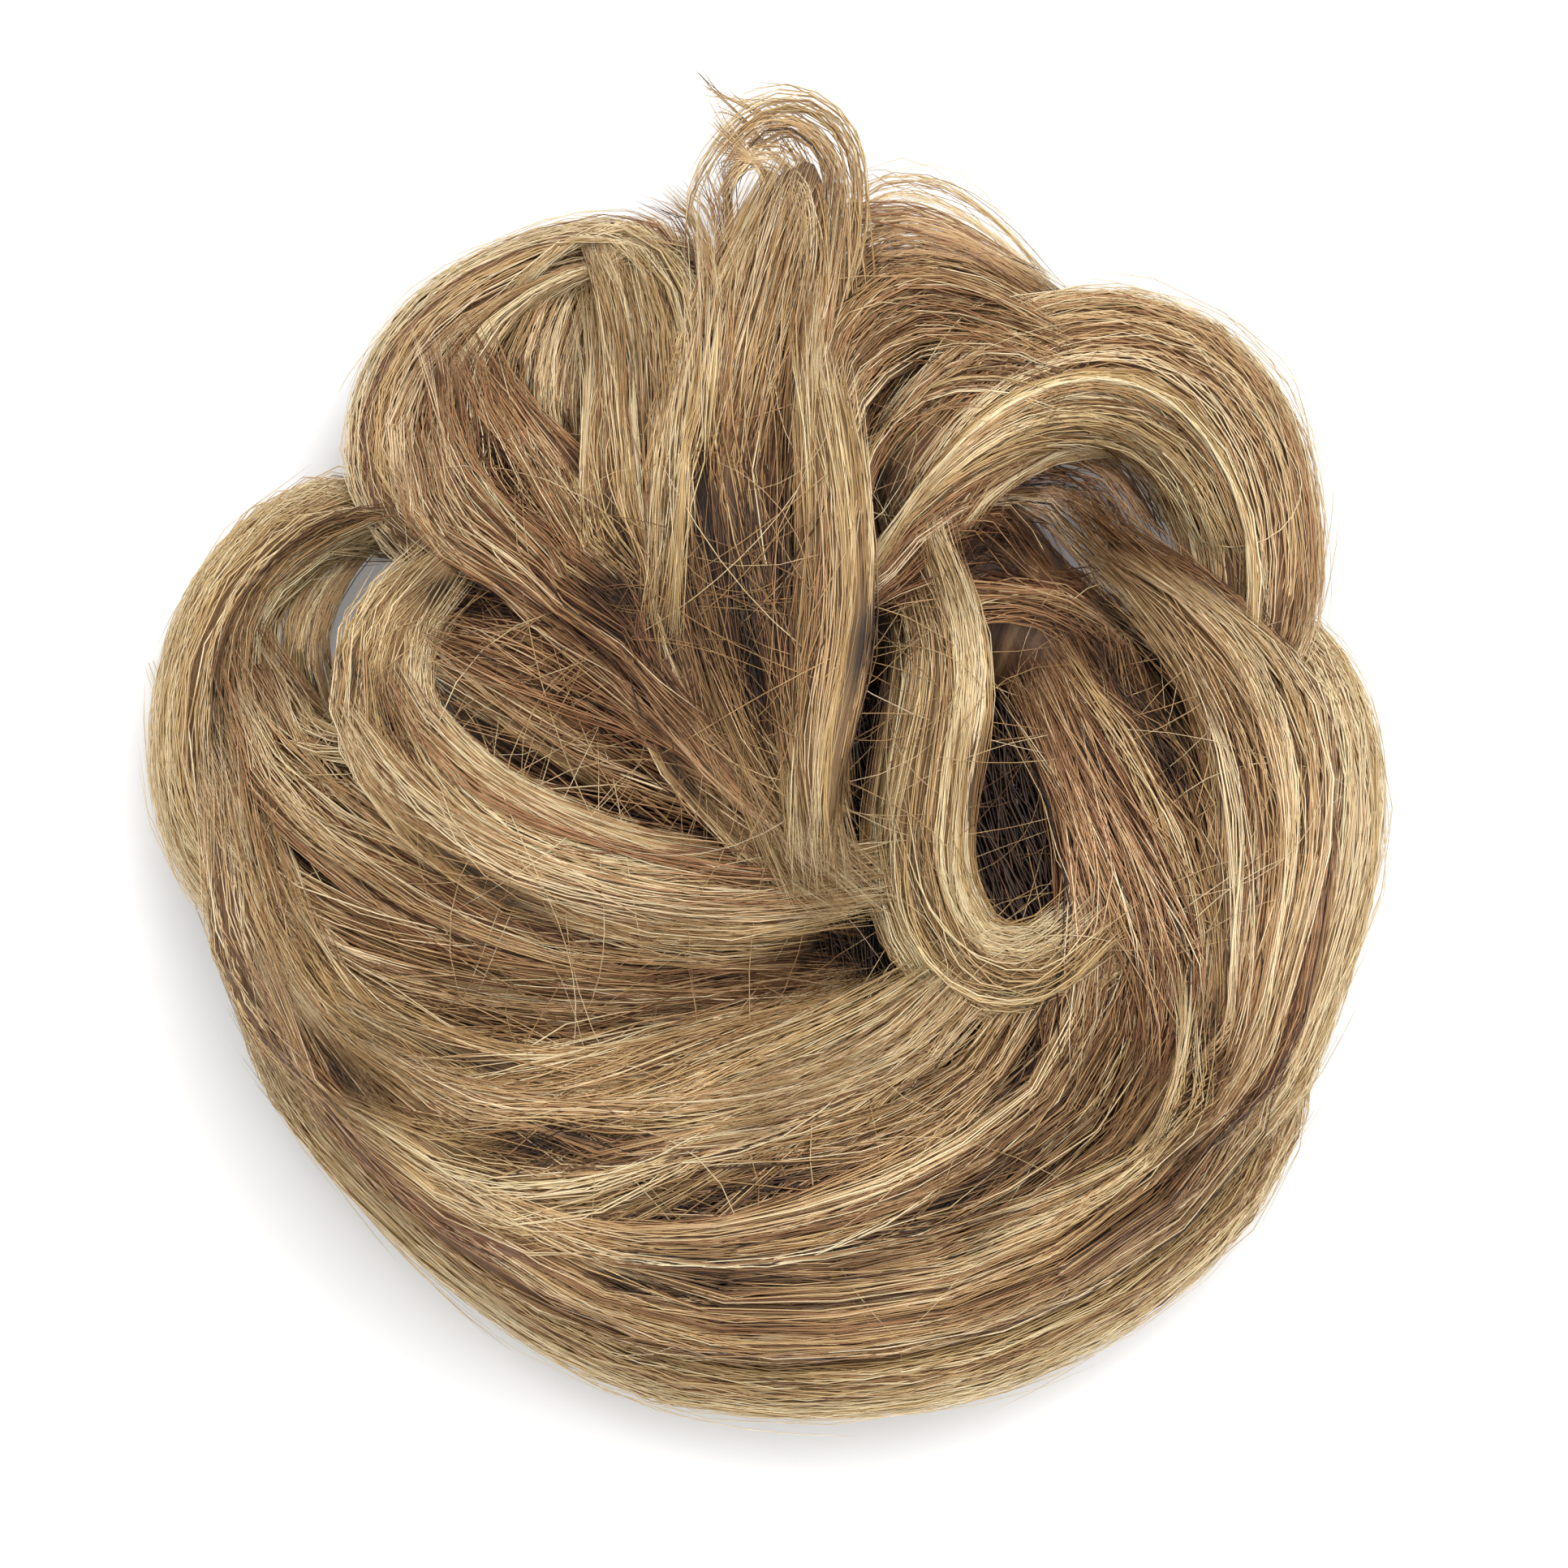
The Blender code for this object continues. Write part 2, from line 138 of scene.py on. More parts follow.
# The camera looks straight down, as in the photograph, on a square frame
FRAME_WIDTH = 193.2 * MM
FRAME_CENTRE = (2.1 * MM, 3.4 * MM)
CAMERA_HEIGHT = 1.3
FRAME_LEVEL = 25.0 * MM
SENSOR = 36.0
FLOOR_HALF = 2.0
FLOOR_DROP = 0.1 * MM

# The world's light: an even white, and a soft brighter patch of it in one direction
WORLD_STRENGTH = 0.98
PATCH_DIRECTION = (0.20, 0.36, 0.95)
PATCH_FOCUS = 20
PATCH_STRENGTH = 8.0

# Tones of the hair in linear light, from the deep shade to the palest streaks
GOLD = np.array([
    (0.014, 0.007, 0.003),
    (0.070, 0.034, 0.015),
    (0.195, 0.104, 0.039),
    (0.380, 0.230, 0.090),
    (0.600, 0.425, 0.195),
    (0.870, 0.735, 0.470),
])
COPPER = np.array([
    (0.016, 0.007, 0.003),
    (0.088, 0.034, 0.016),
    (0.225, 0.094, 0.041),
    (0.405, 0.204, 0.093),
    (0.600, 0.370, 0.190),
    (0.850, 0.680, 0.450),
])
WARMTH = {"blonde_hair": 0.16, "honey_hair": 0.42, "auburn_hair": 0.85, "brown_hair": 0.62}

# Plan of each lock: tone from 0 to 1, width as a share of LOCK_WIDTH, the share left at the root and
# the tip, number of strands, the route in hundredths of HALF_SPAN, how much strands stray from the
# surface, and how far they run on past the root and the tip as shares of the length
Plan = namedtuple("Plan", "name slot tone width root tip strands route frizz before after",
                  defaults=(0.03, 0.10, 0.10))
PLANS = (
    Plan("lower_rim_lock", "blonde_hair", 0.66, 1.05, 0.4, 0.4, 740, (
        (84, -26), (80, -50), (65, -69), (40, -83), (10, -88), (-16, -86), (-39, -75), (-60, -58),
        (-76, -40), (-84, -18)), before=0.08, after=0.08),
    Plan("left_outer_curl", "blonde_hair", 0.73, 0.80, 0.4, 0.3, 520, (
        (-58, 47), (-72, 49), (-85, 39), (-92, 24), (-93, 7), (-88, -7), (-75, -19), (-52, -28), (-20, -31),
        (6, -26))),
    Plan("right_outer_lock", "blonde_hair", 0.80, 0.90, 0.35, 0.4, 430, (
        (76, 34), (87, 24), (92, 10), (91, -6), (86, -24), (80, -42), (68, -58))),
    Plan("upper_back_lock", "honey_hair", 0.50, 0.90, 0.5, 0.4, 220, (
        (11, 56), (13, 74), (24, 83), (38, 82), (50, 76)), frizz=0.04, before=0.05),
    Plan("upper_right_curl", "honey_hair", 0.66, 1.25, 0.4, 0.4, 520, (
        (19, 38), (27, 56), (42, 69), (59, 72), (71, 65), (78, 52), (80, 36), (77, 20)), before=0.06),
    Plan("upper_left_curl", "honey_hair", 0.64, 0.85, 0.4, 0.3, 420, (
        (-8, 86), (-26, 90), (-42, 85), (-54, 76), (-60, 63), (-57, 51), (-46, 42), (-31, 31),
        (-16, 16)), before=0.04),
    Plan("lower_left_lock", "honey_hair", 0.62, 1.05, 0.2, 0.2, 190, (
        (-87, 4), (-82, -20), (-68, -38), (-45, -50), (-20, -54), (2, -52))),
    Plan("lower_outer_lock", "honey_hair", 0.62, 1.15, 0.3, 0.3, 240, (
        (70, -22), (68, -45), (56, -60), (34, -73), (7, -78), (-19, -76), (-44, -64), (-64, -46),
        (-77, -26))),
    Plan("lower_middle_lock", "auburn_hair", 0.55, 1.15, 0.3, 0.3, 190, (
        (50, -18), (45, -39), (27, -55), (1, -64), (-26, -66), (-50, -57), (-70, -40))),
    Plan("lower_inner_lock", "blonde_hair", 0.62, 1.05, 0.35, 0.2, 190, (
        (32, -27), (19, -37), (0, -43), (-20, -48), (-42, -47), (-63, -36))),
    Plan("left_inner_lock", "auburn_hair", 0.52, 1.15, 0.2, 0.35, 200, (
        (-84, 24), (-74, 6), (-50, -10), (-18, -20), (8, -22))),
    Plan("right_fan_lock", "auburn_hair", 0.56, 1.15, 0.3, 0.3, 240, (
        (47, 24), (56, 6), (64, -10), (69, -27), (66, -45)), frizz=0.05, after=0.12),
    Plan("right_inner_lock", "honey_hair", 0.60, 1.00, 0.15, 0.2, 240, (
        (56, 44), (71, 31), (80, 15), (83, -2), (81, -20), (76, -40),
        (60, -56)), frizz=0.05, before=0.12, after=0.12),
    Plan("crown_lock", "brown_hair", 0.56, 1.10, 0.25, 0.3, 240, (
        (-56, 30), (-42, 24), (-24, 14), (-5, 2), (6, -7)), frizz=0.06, after=0.12),
    Plan("upper_left_inner_lock", "auburn_hair", 0.54, 1.00, 0.2, 0.3, 220, (
        (-50, 74), (-45, 61), (-36, 49), (-25, 36), (-10, 15)), frizz=0.05, after=0.12),
    Plan("sweep_lock", "blonde_hair", 0.72, 0.90, 0.25, 0.4, 330, (
        (-50, 42), (-60, 31), (-62, 17), (-54, 5), (-42, -4), (-22, -11), (-2, -13),
        (15, -11)), frizz=0.04, before=0.00),
    Plan("tuft_loop", "blonde_hair", 0.72, 0.32, 0.6, 0.6, 50, (
        (-6, 80), (-11, 98), (-5, 110), (4, 115), (12, 109), (13, 94), (8, 78)), frizz=0.42, before=-0.50),
    Plan("front_fall_lock", "blonde_hair", 0.62, 0.90, 0.3, 0.4, 300, (
        (-27, 93), (-22, 80), (-21, 60), (-19, 40), (-14, 20), (-4, 3), (9, -9)), before=-0.02),
    Plan("tuft_lock", "honey_hair", 0.66, 1.20, 0.25, 0.35, 380, (
        (7, 106), (2, 91), (-3, 72), (-6, 53), (-3, 33), (1, 13), (6, -4)), frizz=0.04, before=0.02),
    Plan("centre_fall_lock", "blonde_hair", 0.70, 0.60, 0.4, 0.4, 170, (
        (9, 68), (11, 50), (11, 30), (8, 10), (8, -4)), frizz=0.04, before=0.12),
    Plan("knot_lock", "blonde_hair", 0.77, 0.85, 0.4, 0.4, 300, (
        (23, 45), (28, 26), (26, 6), (25, -11), (32, -24), (44, -26), (55, -17)), frizz=0.05, after=0.02),
)

# Further lines that loose hair follows, in hundredths of HALF_SPAN
GUIDES = {
    "upper_right_middle": ((16, 40), (30, 58), (46, 69), (62, 69), (75, 57), (82, 38)),
    "upper_right_inner": ((15, 35), (25, 48), (41, 58), (55, 58), (65, 46)),
    "upper_right_lowest": ((17, 33), (26, 40), (38, 44), (50, 40), (58, 30)),
    "upper_right_floor": ((20, 26), (30, 31), (42, 32), (54, 26), (62, 15)),
    "upper_left_haze": ((-20, 92), (-36, 84), (-43, 70), (-38, 53), (-27, 40)),
    "upper_left_arch": ((-30, 93), (-26, 78), (-25, 64), (-23, 48), (-19, 32)),
    "left_haze": ((-52, 52), (-66, 42), (-73, 29), (-70, 18), (-56, 13)),
    "left_haze_low": ((-56, 50), (-78, 38), (-82, 24), (-76, 12), (-58, 9)),
    "back_outer": ((6, 56), (7, 80), (14, 97), (29, 97), (46, 87)),
    "back_inner": ((15, 40), (17, 56), (25, 66), (36, 68), (48, 64)),
    "back_edge": ((10, 94), (17, 105), (29, 105), (40, 97), (49, 85)),
    "right_fan_left": ((38, 20), (42, 5), (46, -8), (49, -22), (45, -42)),
    "haze_left": ((-33, 90), (-40, 80), (-42, 66), (-35, 50), (-24, 36)),
    "haze_right": ((-26, 90), (-30, 78), (-31, 64), (-27, 50), (-20, 36)),
    "shoulder_left": ((-27, 97), (-20, 95), (-16, 86), (-15, 74), (-15, 58)),
    "shoulder_middle": ((-17, 101), (-12, 97), (-9, 87), (-9, 74), (-10, 58)),
    "shoulder_right": ((-6, 108), (-5, 100), (-4, 88), (-5, 74), (-7, 58)),
    "hook_outer": ((17, 0), (20, -20), (31, -33), (46, -34), (60, -24)),
    "hook_inner": ((25, 0), (28, -15), (35, -24), (45, -25), (56, -15)),
    "over_sweep_low": ((-60, 58), (-57, 46), (-46, 36), (-32, 26), (-16, 12)),
    "over_sweep_high": ((-54, 62), (-49, 49), (-38, 40), (-26, 30), (-10, 14)),
    "fall_curl_left": ((-44, 82), (-34, 93), (-23, 92), (-17, 78), (-19, 56), (-20, 32)),
    "fall_curl_right": ((-34, 92), (-23, 97), (-14, 90), (-10, 74), (-12, 52), (-14, 28)),
    "knot_fan_high": ((26, -24), (10, -33), (-8, -41), (-28, -50), (-50, -52), (-68, -42)),
    "knot_fan_low": ((34, -27), (24, -42), (4, -56), (-20, -68), (-44, -68), (-64, -54)),
    "bright_high": ((67, -32), (68, -42), (62, -53), (50, -60), (34, -66)),
    "bright_low": ((71, -32), (70, -46), (63, -58), (50, -66), (36, -72)),
    "tuft_right": ((16, 70), (16, 90), (14, 106), (7, 115), (-2, 115), (-8, 108)),
    "tuft_left": ((-6, 76), (-4, 90), (-1, 99), (-2, 106), (-7, 112), (-12, 120)),
    "tuft_middle": ((2, 76), (5, 90), (4, 101), (0, 105), (-4, 104), (-6, 99)),
    "loop_left": ((12, 82), (14, 100), (8, 114), (-3, 117), (-10, 108)),
    "loop_spike": ((6, 86), (4, 102), (-2, 112), (-7, 117), (-12, 124)),
    "loop_inner": ((4, 80), (6, 96), (2, 107), (-3, 108), (-6, 102)),
}

# Places where the hair parts and painted shade darkens it: x and y, half the length and half the width as
# shares of HALF_SPAN, and the direction in degrees
Gap = namedtuple("Gap", "x y long short angle")
GAPS = (
    Gap(-0.27, 0.35, 0.10, 0.045, 70),
    Gap(0.165, 0.27, 0.08, 0.024, 80),
    Gap(0.385, -0.01, 0.13, 0.050, -80),
    Gap(0.14, 0.07, 0.09, 0.020, 78),
    Gap(0.09, -0.23, 0.07, 0.028, 20),
    Gap(-0.34, -0.53, 0.12, 0.034, 6),
    Gap(0.573, 0.24, 0.09, 0.035, -40),
    Gap(0.647, 0.09, 0.08, 0.022, -65),
    Gap(0.69, -0.46, 0.12, 0.030, 76),
    Gap(-0.69, 0.22, 0.05, 0.035, 0),
    Gap(-0.51, 0.35, 0.09, 0.028, -20),
    Gap(-0.62, 0.16, 0.06, 0.020, -60),
    Gap(-0.69, -0.41, 0.09, 0.028, -38),
    Gap(-0.40, -0.15, 0.20, 0.016, -33),
    Gap(-0.10, -0.27, 0.12, 0.012, -8),
    Gap(-0.66, -0.115, 0.09, 0.014, -6),
    Gap(-0.48, -0.40, 0.12, 0.016, -16),
    Gap(-0.05, -0.62, 0.14, 0.020, 14),
    Gap(-0.16, -0.76, 0.20, 0.018, -2),
    Gap(0.28, -0.64, 0.14, 0.018, 30),
    Gap(0.40, -0.44, 0.12, 0.016, 62),
    Gap(-0.43, 0.56, 0.10, 0.022, -55),
    Gap(-0.11, 0.56, 0.10, 0.010, -82),
    Gap(-0.02, 0.22, 0.10, 0.014, -80),
    Gap(-0.14, 0.06, 0.10, 0.014, -62),
    Gap(0.42, 0.44, 0.14, 0.050, 12),
)

# Broad zones of painted shade, where the hair is darker: middle and radius as shares of HALF_SPAN, and how
# much darker
Zone = namedtuple("Zone", "x y radius strength")
ZONES = (
    Zone(-0.11, 0.32, 0.25, 0.46),
    Zone(0.36, 0.00, 0.14, 0.12),
    Zone(0.60, 0.12, 0.24, 0.12),
    Zone(-0.58, -0.34, 0.26, 0.05),
    Zone(-0.06, -0.78, 0.24, 0.17),
    Zone(0.62, -0.56, 0.24, 0.24),
    Zone(-0.50, 0.60, 0.16, 0.06),
    Zone(0.44, 0.42, 0.20, 0.16),
    Zone(-0.05, -0.24, 0.18, 0.08),
)

# Sheets of hair that lie over neighbouring locks, with least and lift in millimetres. Each passes through
# some routes in turn: a route's name alone stands for all of it, and with two shares for that stretch
# shaded is the share of the pile's painted shade that a cover's strands take
Cover = namedtuple("Cover", "name slot tone strands stretches width least lift shaded",
                   defaults=(1.0, 0, 0, 1.0))
COVERS = (
    Cover("lower_cover", "honey_hair", 0.60, 1300, (
        ("lower_rim_lock", 0.02, 0.98), "lower_outer_lock", "lower_middle_lock", "lower_inner_lock")),
    Cover("lower_fan", "blonde_hair", 0.66, 330, (
        "knot_fan_high", "knot_fan_low")),
    Cover("left_cover", "honey_hair", 0.67, 480, (
        ("left_outer_curl", 0.36, 0.98), "left_inner_lock", ("sweep_lock", 0.25, 1.0))),
    Cover("lower_left_cover", "honey_hair", 0.65, 420, (
        ("left_outer_curl", 0.45, 0.98), "lower_left_lock", ("lower_inner_lock", 1.0, 0.0))),
    Cover("crown_cover", "auburn_hair", 0.60, 330, (
        ("sweep_lock", 0.22, 1.0), "crown_lock", ("front_fall_lock", 0.42, 1.0))),
    Cover("right_cover", "honey_hair", 0.66, 520, (
        "right_outer_lock", "right_inner_lock", "right_fan_lock")),
    Cover("right_fan_cover", "auburn_hair", 0.58, 330, (
        "right_fan_lock", "right_fan_left"), least=35, lift=1.4),
    Cover("upper_left_cover", "auburn_hair", 0.58, 380, (
        ("upper_left_curl", 0.42, 1.0), "upper_left_inner_lock", ("front_fall_lock", 0.12, 1.0))),
    Cover("upper_left_over", "auburn_hair", 0.60, 170, (
        "over_sweep_low", "over_sweep_high"), lift=1.6),
    Cover("upper_left_veil", "blonde_hair", 0.68, 560, (
        ("upper_left_curl", 0.04, 0.95), "upper_left_haze", "upper_left_arch",
        ("front_fall_lock", 0.02, 0.75)), width=0.8, least=22, shaded=0.2),
    Cover("haze_fill", "blonde_hair", 0.66, 170, (
        "haze_left", "haze_right"), width=0.8, least=29, shaded=0.2),
    Cover("tuft_shoulder", "honey_hair", 0.68, 130, (
        "shoulder_left", "shoulder_middle", "shoulder_right"), width=0.8, least=26, shaded=0.3),
    Cover("hook_cover", "blonde_hair", 0.66, 90, (
        "hook_outer", "hook_inner"), lift=0.5),
    Cover("left_join", "honey_hair", 0.60, 150, (
        ("left_outer_curl", 0.58, 1.0), ("knot_fan_high", 0.80, 0.06)), lift=0.6, shaded=0.7),
    Cover("fall_curl", "blonde_hair", 0.70, 200, (
        "fall_curl_left", "fall_curl_right"), width=0.9, least=26, lift=0.6, shaded=0.4),
    Cover("left_veil", "blonde_hair", 0.62, 330, (
        ("left_outer_curl", 0.02, 0.5), "left_haze_low", "left_haze"), width=0.8, least=18, shaded=0.3),
    Cover("upper_right_cover", "blonde_hair", 0.68, 480, (
        "upper_right_curl", "upper_right_middle", "upper_right_inner")),
    Cover("upper_right_veil", "auburn_hair", 0.56, 380, (
        "upper_right_inner", "upper_right_lowest",
        "upper_right_floor"), width=0.8, least=20, shaded=0.7),
    Cover("back_cover", "honey_hair", 0.60, 440, (
        "back_outer", "upper_back_lock", "back_inner"), least=24),
    Cover("back_wisps", "blonde_hair", 0.90, 60, (
        "back_edge", ("back_outer", 0.25, 1.0)), width=0.6, least=22, shaded=0.2),
    Cover("loop_wisps", "blonde_hair", 0.86, 50, (
        "loop_left", "loop_spike", "loop_inner"), width=0.6, least=26, shaded=0.0),
    Cover("tuft_tip", "honey_hair", 0.72, 120, (
        "tuft_right", "tuft_middle", ("tuft_left", 0.0, 0.9)), width=0.8, least=30, shaded=0.3),
    Cover("top_cover", "honey_hair", 0.66, 420, (
        ("front_fall_lock", 0.02, 1.0), ("tuft_lock", 0.02, 1.0), "centre_fall_lock")),
    Cover("bright_streak", "blonde_hair", 0.92, 80, (
        ("bright_high", -0.12, 1.0), ("bright_low", 0.0, 1.1)), width=0.8, lift=1.8, shaded=0.2),
)


def soften(values, rounds=1):
    """Values with each one drawn towards the mean of the ones beside it, along the first axis."""
    for _ in range(rounds):
        padded = np.concatenate([values[:1], values, values[-1:]])
        values = (padded[:-2] + 2 * padded[1:-1] + padded[2:]) / 4
    return values


def smooth_route(route, offset):
    """Even stations along a smooth curve through the points of a route."""
    points = np.array(route) / ROUTE_UNITS
    ends = np.vstack([2 * points[0] - points[1], points, 2 * points[-1] - points[-2]])
    share = np.linspace(0, 1, 24, endpoint=False)[:, None]
    fine = []
    for before, start, end, after in zip(ends[:-3], ends[1:-2], ends[2:-1], ends[3:]):
        fine.append(0.5 * (2 * start + (end - before) * share
                           + (2 * before - 5 * start + 4 * end - after) * share ** 2
                           + (3 * start - before - 3 * end + after) * share ** 3))
    fine = np.vstack(fine + [points[-1:]])
    travelled = np.concatenate([[0], np.cumsum(np.linalg.norm(np.diff(fine, axis=0), axis=1))])
    stops = np.linspace(0, travelled[-1], STATIONS)
    line = np.column_stack([np.interp(stops, travelled, fine[:, axis]) for axis in range(2)])
    return line * HALF_SPAN + offset


def points_for(line):
    """How many points a strand along the line needs: more of them where it turns more."""
    heading = np.diff(line, axis=0)
    angle = np.unwrap(np.arctan2(heading[:, 1], heading[:, 0]))
    return int(np.clip(round(np.abs(np.diff(angle)).sum() / TURN_A_POINT) + 4, 8, 17))


def round_steps(count):
    """Angles at even steps round a full turn."""
    return np.linspace(0, 2 * math.pi, count, endpoint=False)


def squared_off(wave, power):
    """A wave from -1 to 1 made fuller towards its tops."""
    return np.sign(wave) * np.abs(wave) ** power


def solid_tree(*names):
    """A search tree over the surfaces of the named solids."""
    points, faces = [], []
    for name in names:
        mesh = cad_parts[name].data
        start = len(points)
        points += [vertex.co.copy() for vertex in mesh.vertices]
        faces += [tuple(start + index for index in face.vertices) for face in mesh.polygons]
    return BVHTree.FromPolygons(points, faces)


def cast(tree, start, heading):
    found = tree.ray_cast(Vector(start), Vector(heading))[0]
    return None if found is None else np.array(found)


def read_along(rows, share):
    """Values of even rows at shares of their length, and a little past both ends."""
    place = np.clip(share, -RUN_ON, 1 + RUN_ON) * (len(rows) - 1)
    row = np.clip(np.floor(place).astype(int), 0, len(rows) - 2)
    rest = place - row
    if rows.ndim > 1:
        rest = rest[..., None]
    return rows[row] * (1 - rest) + rows[row + 1] * rest


def read_grid(grid, i, j, after, beside, u, v):
    """Values between the rows i and after and the columns j and beside of a grid."""
    return (grid[i, j] * (1 - u) * (1 - v) + grid[after, j] * u * (1 - v)
            + grid[i, beside] * (1 - u) * v + grid[after, beside] * u * v)


class Form:
    """The shape of one lock: its stations, and its underside and top across its width."""

    def __init__(self, plan, offset):
        self.plan = plan
        self.path = smooth_route(plan.route, offset)
        along = np.linspace(0, 1, STATIONS)
        ends = plan.root * (1 - along) + plan.tip * along
        swell = ends + (1 - ends) * np.sin(math.pi * along) ** END_FULLNESS
        heading = np.gradient(self.path, axis=0)
        steps = np.linalg.norm(heading, axis=1)
        heading /= steps[:, None]
        turning = np.linalg.norm(np.gradient(heading, axis=0), axis=1) / steps
        half = plan.width * LOCK_WIDTH * swell / 2
        self.half = soften(half / np.maximum(1, half * turning / TIGHTEST_BEND), 6)
        self.side = np.column_stack([-heading[:, 1], heading[:, 0]])
        self.length = steps.sum()
        low, high = self.read_heights(solid_tree(plan.name))
        self.middle, self.thick = self.fit((low + high) / 2), self.fit((high - low) / 2)

    def read_heights(self, tree):
        """Underside and top of the solid at each station and column, with misses filled from beside."""
        low = np.full((STATIONS, len(COLUMNS)), np.nan)
        high = low.copy()
        for i in range(STATIONS):
            inside = min(max(i, 1), STATIONS - 2)
            for j, column in enumerate(COLUMNS):
                x, y = self.path[inside] + self.side[inside] * self.half[inside] * column
                above = cast(tree, (x, y, 1.0), (0, 0, -1))
                below = cast(tree, (x, y, -1.0), (0, 0, 1))
                if above is not None and below is not None:
                    high[i, j], low[i, j] = above[2], below[2]
        for heights in (low, high):
            for j in range(len(COLUMNS)):
                hit = ~np.isnan(heights[:, j])
                heights[:, j] = np.interp(np.arange(STATIONS), np.flatnonzero(hit), heights[hit, j])
        return soften(low, 6), soften(high, 6)

    def fit(self, heights):
        """A parabola across the width at each station."""
        powers = np.stack([np.ones_like(COLUMNS), COLUMNS, COLUMNS ** 2], axis=1)
        return (np.linalg.pinv(powers) @ heights.T).T

    def points(self, share, turn, reach):
        """Places at a share of the length, a turn round the cross-section and a share of its size."""
        across = squared_off(np.cos(turn), SQUARENESS) * reach
        rise = squared_off(np.sin(turn), SQUARENESS) * reach
        plan = read_along(self.path, share)
        held = np.clip(share, 0, 1)
        plan = plan + read_along(self.side, held) * (read_along(self.half, held) * across)[..., None]
        column = np.clip(across, -1, 1)
        powers = np.stack([np.ones_like(column), column, column ** 2], axis=-1)
        middle = np.sum(read_along(self.middle, held) * powers, axis=-1)
        thick = np.maximum(np.sum(read_along(self.thick, held) * powers, axis=-1), THINNEST)
        beyond = np.abs(share - held) * self.length
        height = middle + rise * thick - beyond ** 2 / END_DIVE
        return np.concatenate([plan, height[..., None]], axis=-1)


def tone_colours(tone, warmth):
    """Colours of the hair for tones from 0, dark, to 1, pale, and warmths from 0, gold, to 1, copper."""
    place = np.clip(tone, 0, 1) * (len(GOLD) - 1)
    steps = np.arange(len(GOLD))
    gold = np.stack([np.interp(place, steps, GOLD[:, k]) for k in range(3)], axis=-1)
    copper = np.stack([np.interp(place, steps, COPPER[:, k]) for k in range(3)], axis=-1)
    share = np.clip(warmth, 0, 1)[..., None]
    return gold * (1 - share) + copper * share


def zone_weight(plan, offset):
    """How much darker the hair is in the broad zones of shade."""
    total = np.zeros(plan.shape[:-1])
    for zone in ZONES:
        away = (plan - offset) / HALF_SPAN - np.array([zone.x, zone.y])
        total = total + zone.strength * np.exp(-(away ** 2).sum(axis=-1) / zone.radius ** 2)
    return total


def gap_frames(plan, offset):
    """For each gap, how far along and across it each place lies, in units of its own size."""
    for gap in GAPS:
        heading = np.array([math.cos(math.radians(gap.angle)), math.sin(math.radians(gap.angle))])
        side = np.array([-heading[1], heading[0]])
        away = plan - (np.array([gap.x, gap.y]) * HALF_SPAN + offset)
        yield gap, side, away @ heading / (gap.long * HALF_SPAN), away @ side / (gap.short * HALF_SPAN)


def gap_weight(plan, offset):
    """From 0 away from the gaps to 1 in the middle of one."""
    total = np.zeros(plan.shape[:-1])
    for _, _, along, across in gap_frames(plan, offset):
        total = np.maximum(total, np.exp(-along ** 2 - across ** 2))
    return total


def part_hair(plan, offset, share=1.0):
    """Moves places of the plan sideways out of the gaps."""
    moved = plan
    for gap, side, along, across in gap_frames(plan, offset):
        push = np.tanh(3 * across) * np.exp(-along ** 2 - 0.6 * across ** 2) * gap.short * HALF_SPAN * share
        moved = moved + push[..., None] * side
    return moved


class Pile:
    """Heights of the whole pile on a grid, and the same heights smoothed over a few millimetres."""

    def __init__(self, tree, low, high, offset):
        self.offset = offset
        self.hollow = HOLLOW_SHARES * HALF_SPAN + offset
        self.low = np.array(low[:2]) - PILE_MARGIN
        counts = np.ceil((np.array(high[:2]) + PILE_MARGIN - self.low) / PILE_STEP).astype(int) + 1
        self.top = np.zeros(counts)
        for i, j in np.ndindex(*counts):
            x, y = self.low + np.array([i, j]) * PILE_STEP
            found = cast(tree, (x, y, 1.0), (0, 0, -1))
            if found is not None:
                self.top[i, j] = found[2]
            if np.linalg.norm(np.array([x, y]) - self.hollow) < HOLLOW_RADIUS + PILE_STEP:
                self.top[i, j] = max(self.top[i, j], HOLLOW_CEILING)
        self.sheet = self.blur(self.top, SHEET_ROUNDS)
        self.level = self.blur(self.top, LEVEL_ROUNDS)

    @staticmethod
    def blur(grid, rounds):
        return soften(soften(grid, rounds).T, rounds).T

    def over_hollow(self, paths):
        """Lifts what would hang into the hollow to just above it."""
        inside = np.linalg.norm(paths[..., :2] - self.hollow, axis=-1) < HOLLOW_RADIUS
        paths[..., 2] = np.where(inside, np.maximum(paths[..., 2], HOLLOW_CEILING), paths[..., 2])

    def sample(self, grid, plan):
        place = (plan - self.low) / PILE_STEP
        place = np.clip(place, 0, np.array(grid.shape) - 1.001)
        i, j = place[..., 0].astype(int), place[..., 1].astype(int)
        u, v = place[..., 0] - i, place[..., 1] - j
        return read_grid(grid, i, j, i + 1, j + 1, u, v)

    def shade(self, paths):
        """How much painted shade darkens hair: in the gaps and the broad zones, and where it lies deeper
        than the hair around it.
        """
        depth = self.sample(self.level, paths[..., :2]) - paths[..., 2]
        plan = paths[..., :2]
        shade = GAP_SHADE * gap_weight(plan, self.offset) + zone_weight(plan, self.offset)
        return shade + DEEP_SHADE * np.clip(depth / DEEP, -0.25, 1) * (1 - self.outside(plan))

    def outside(self, plan):
        """From 0 well within the bun to 1 at its outline, where light reaches under the locks."""
        away = np.linalg.norm(plan - self.offset, axis=-1) / HALF_SPAN
        return np.clip((away - 0.72) / 0.2, 0, 1) * 0.75


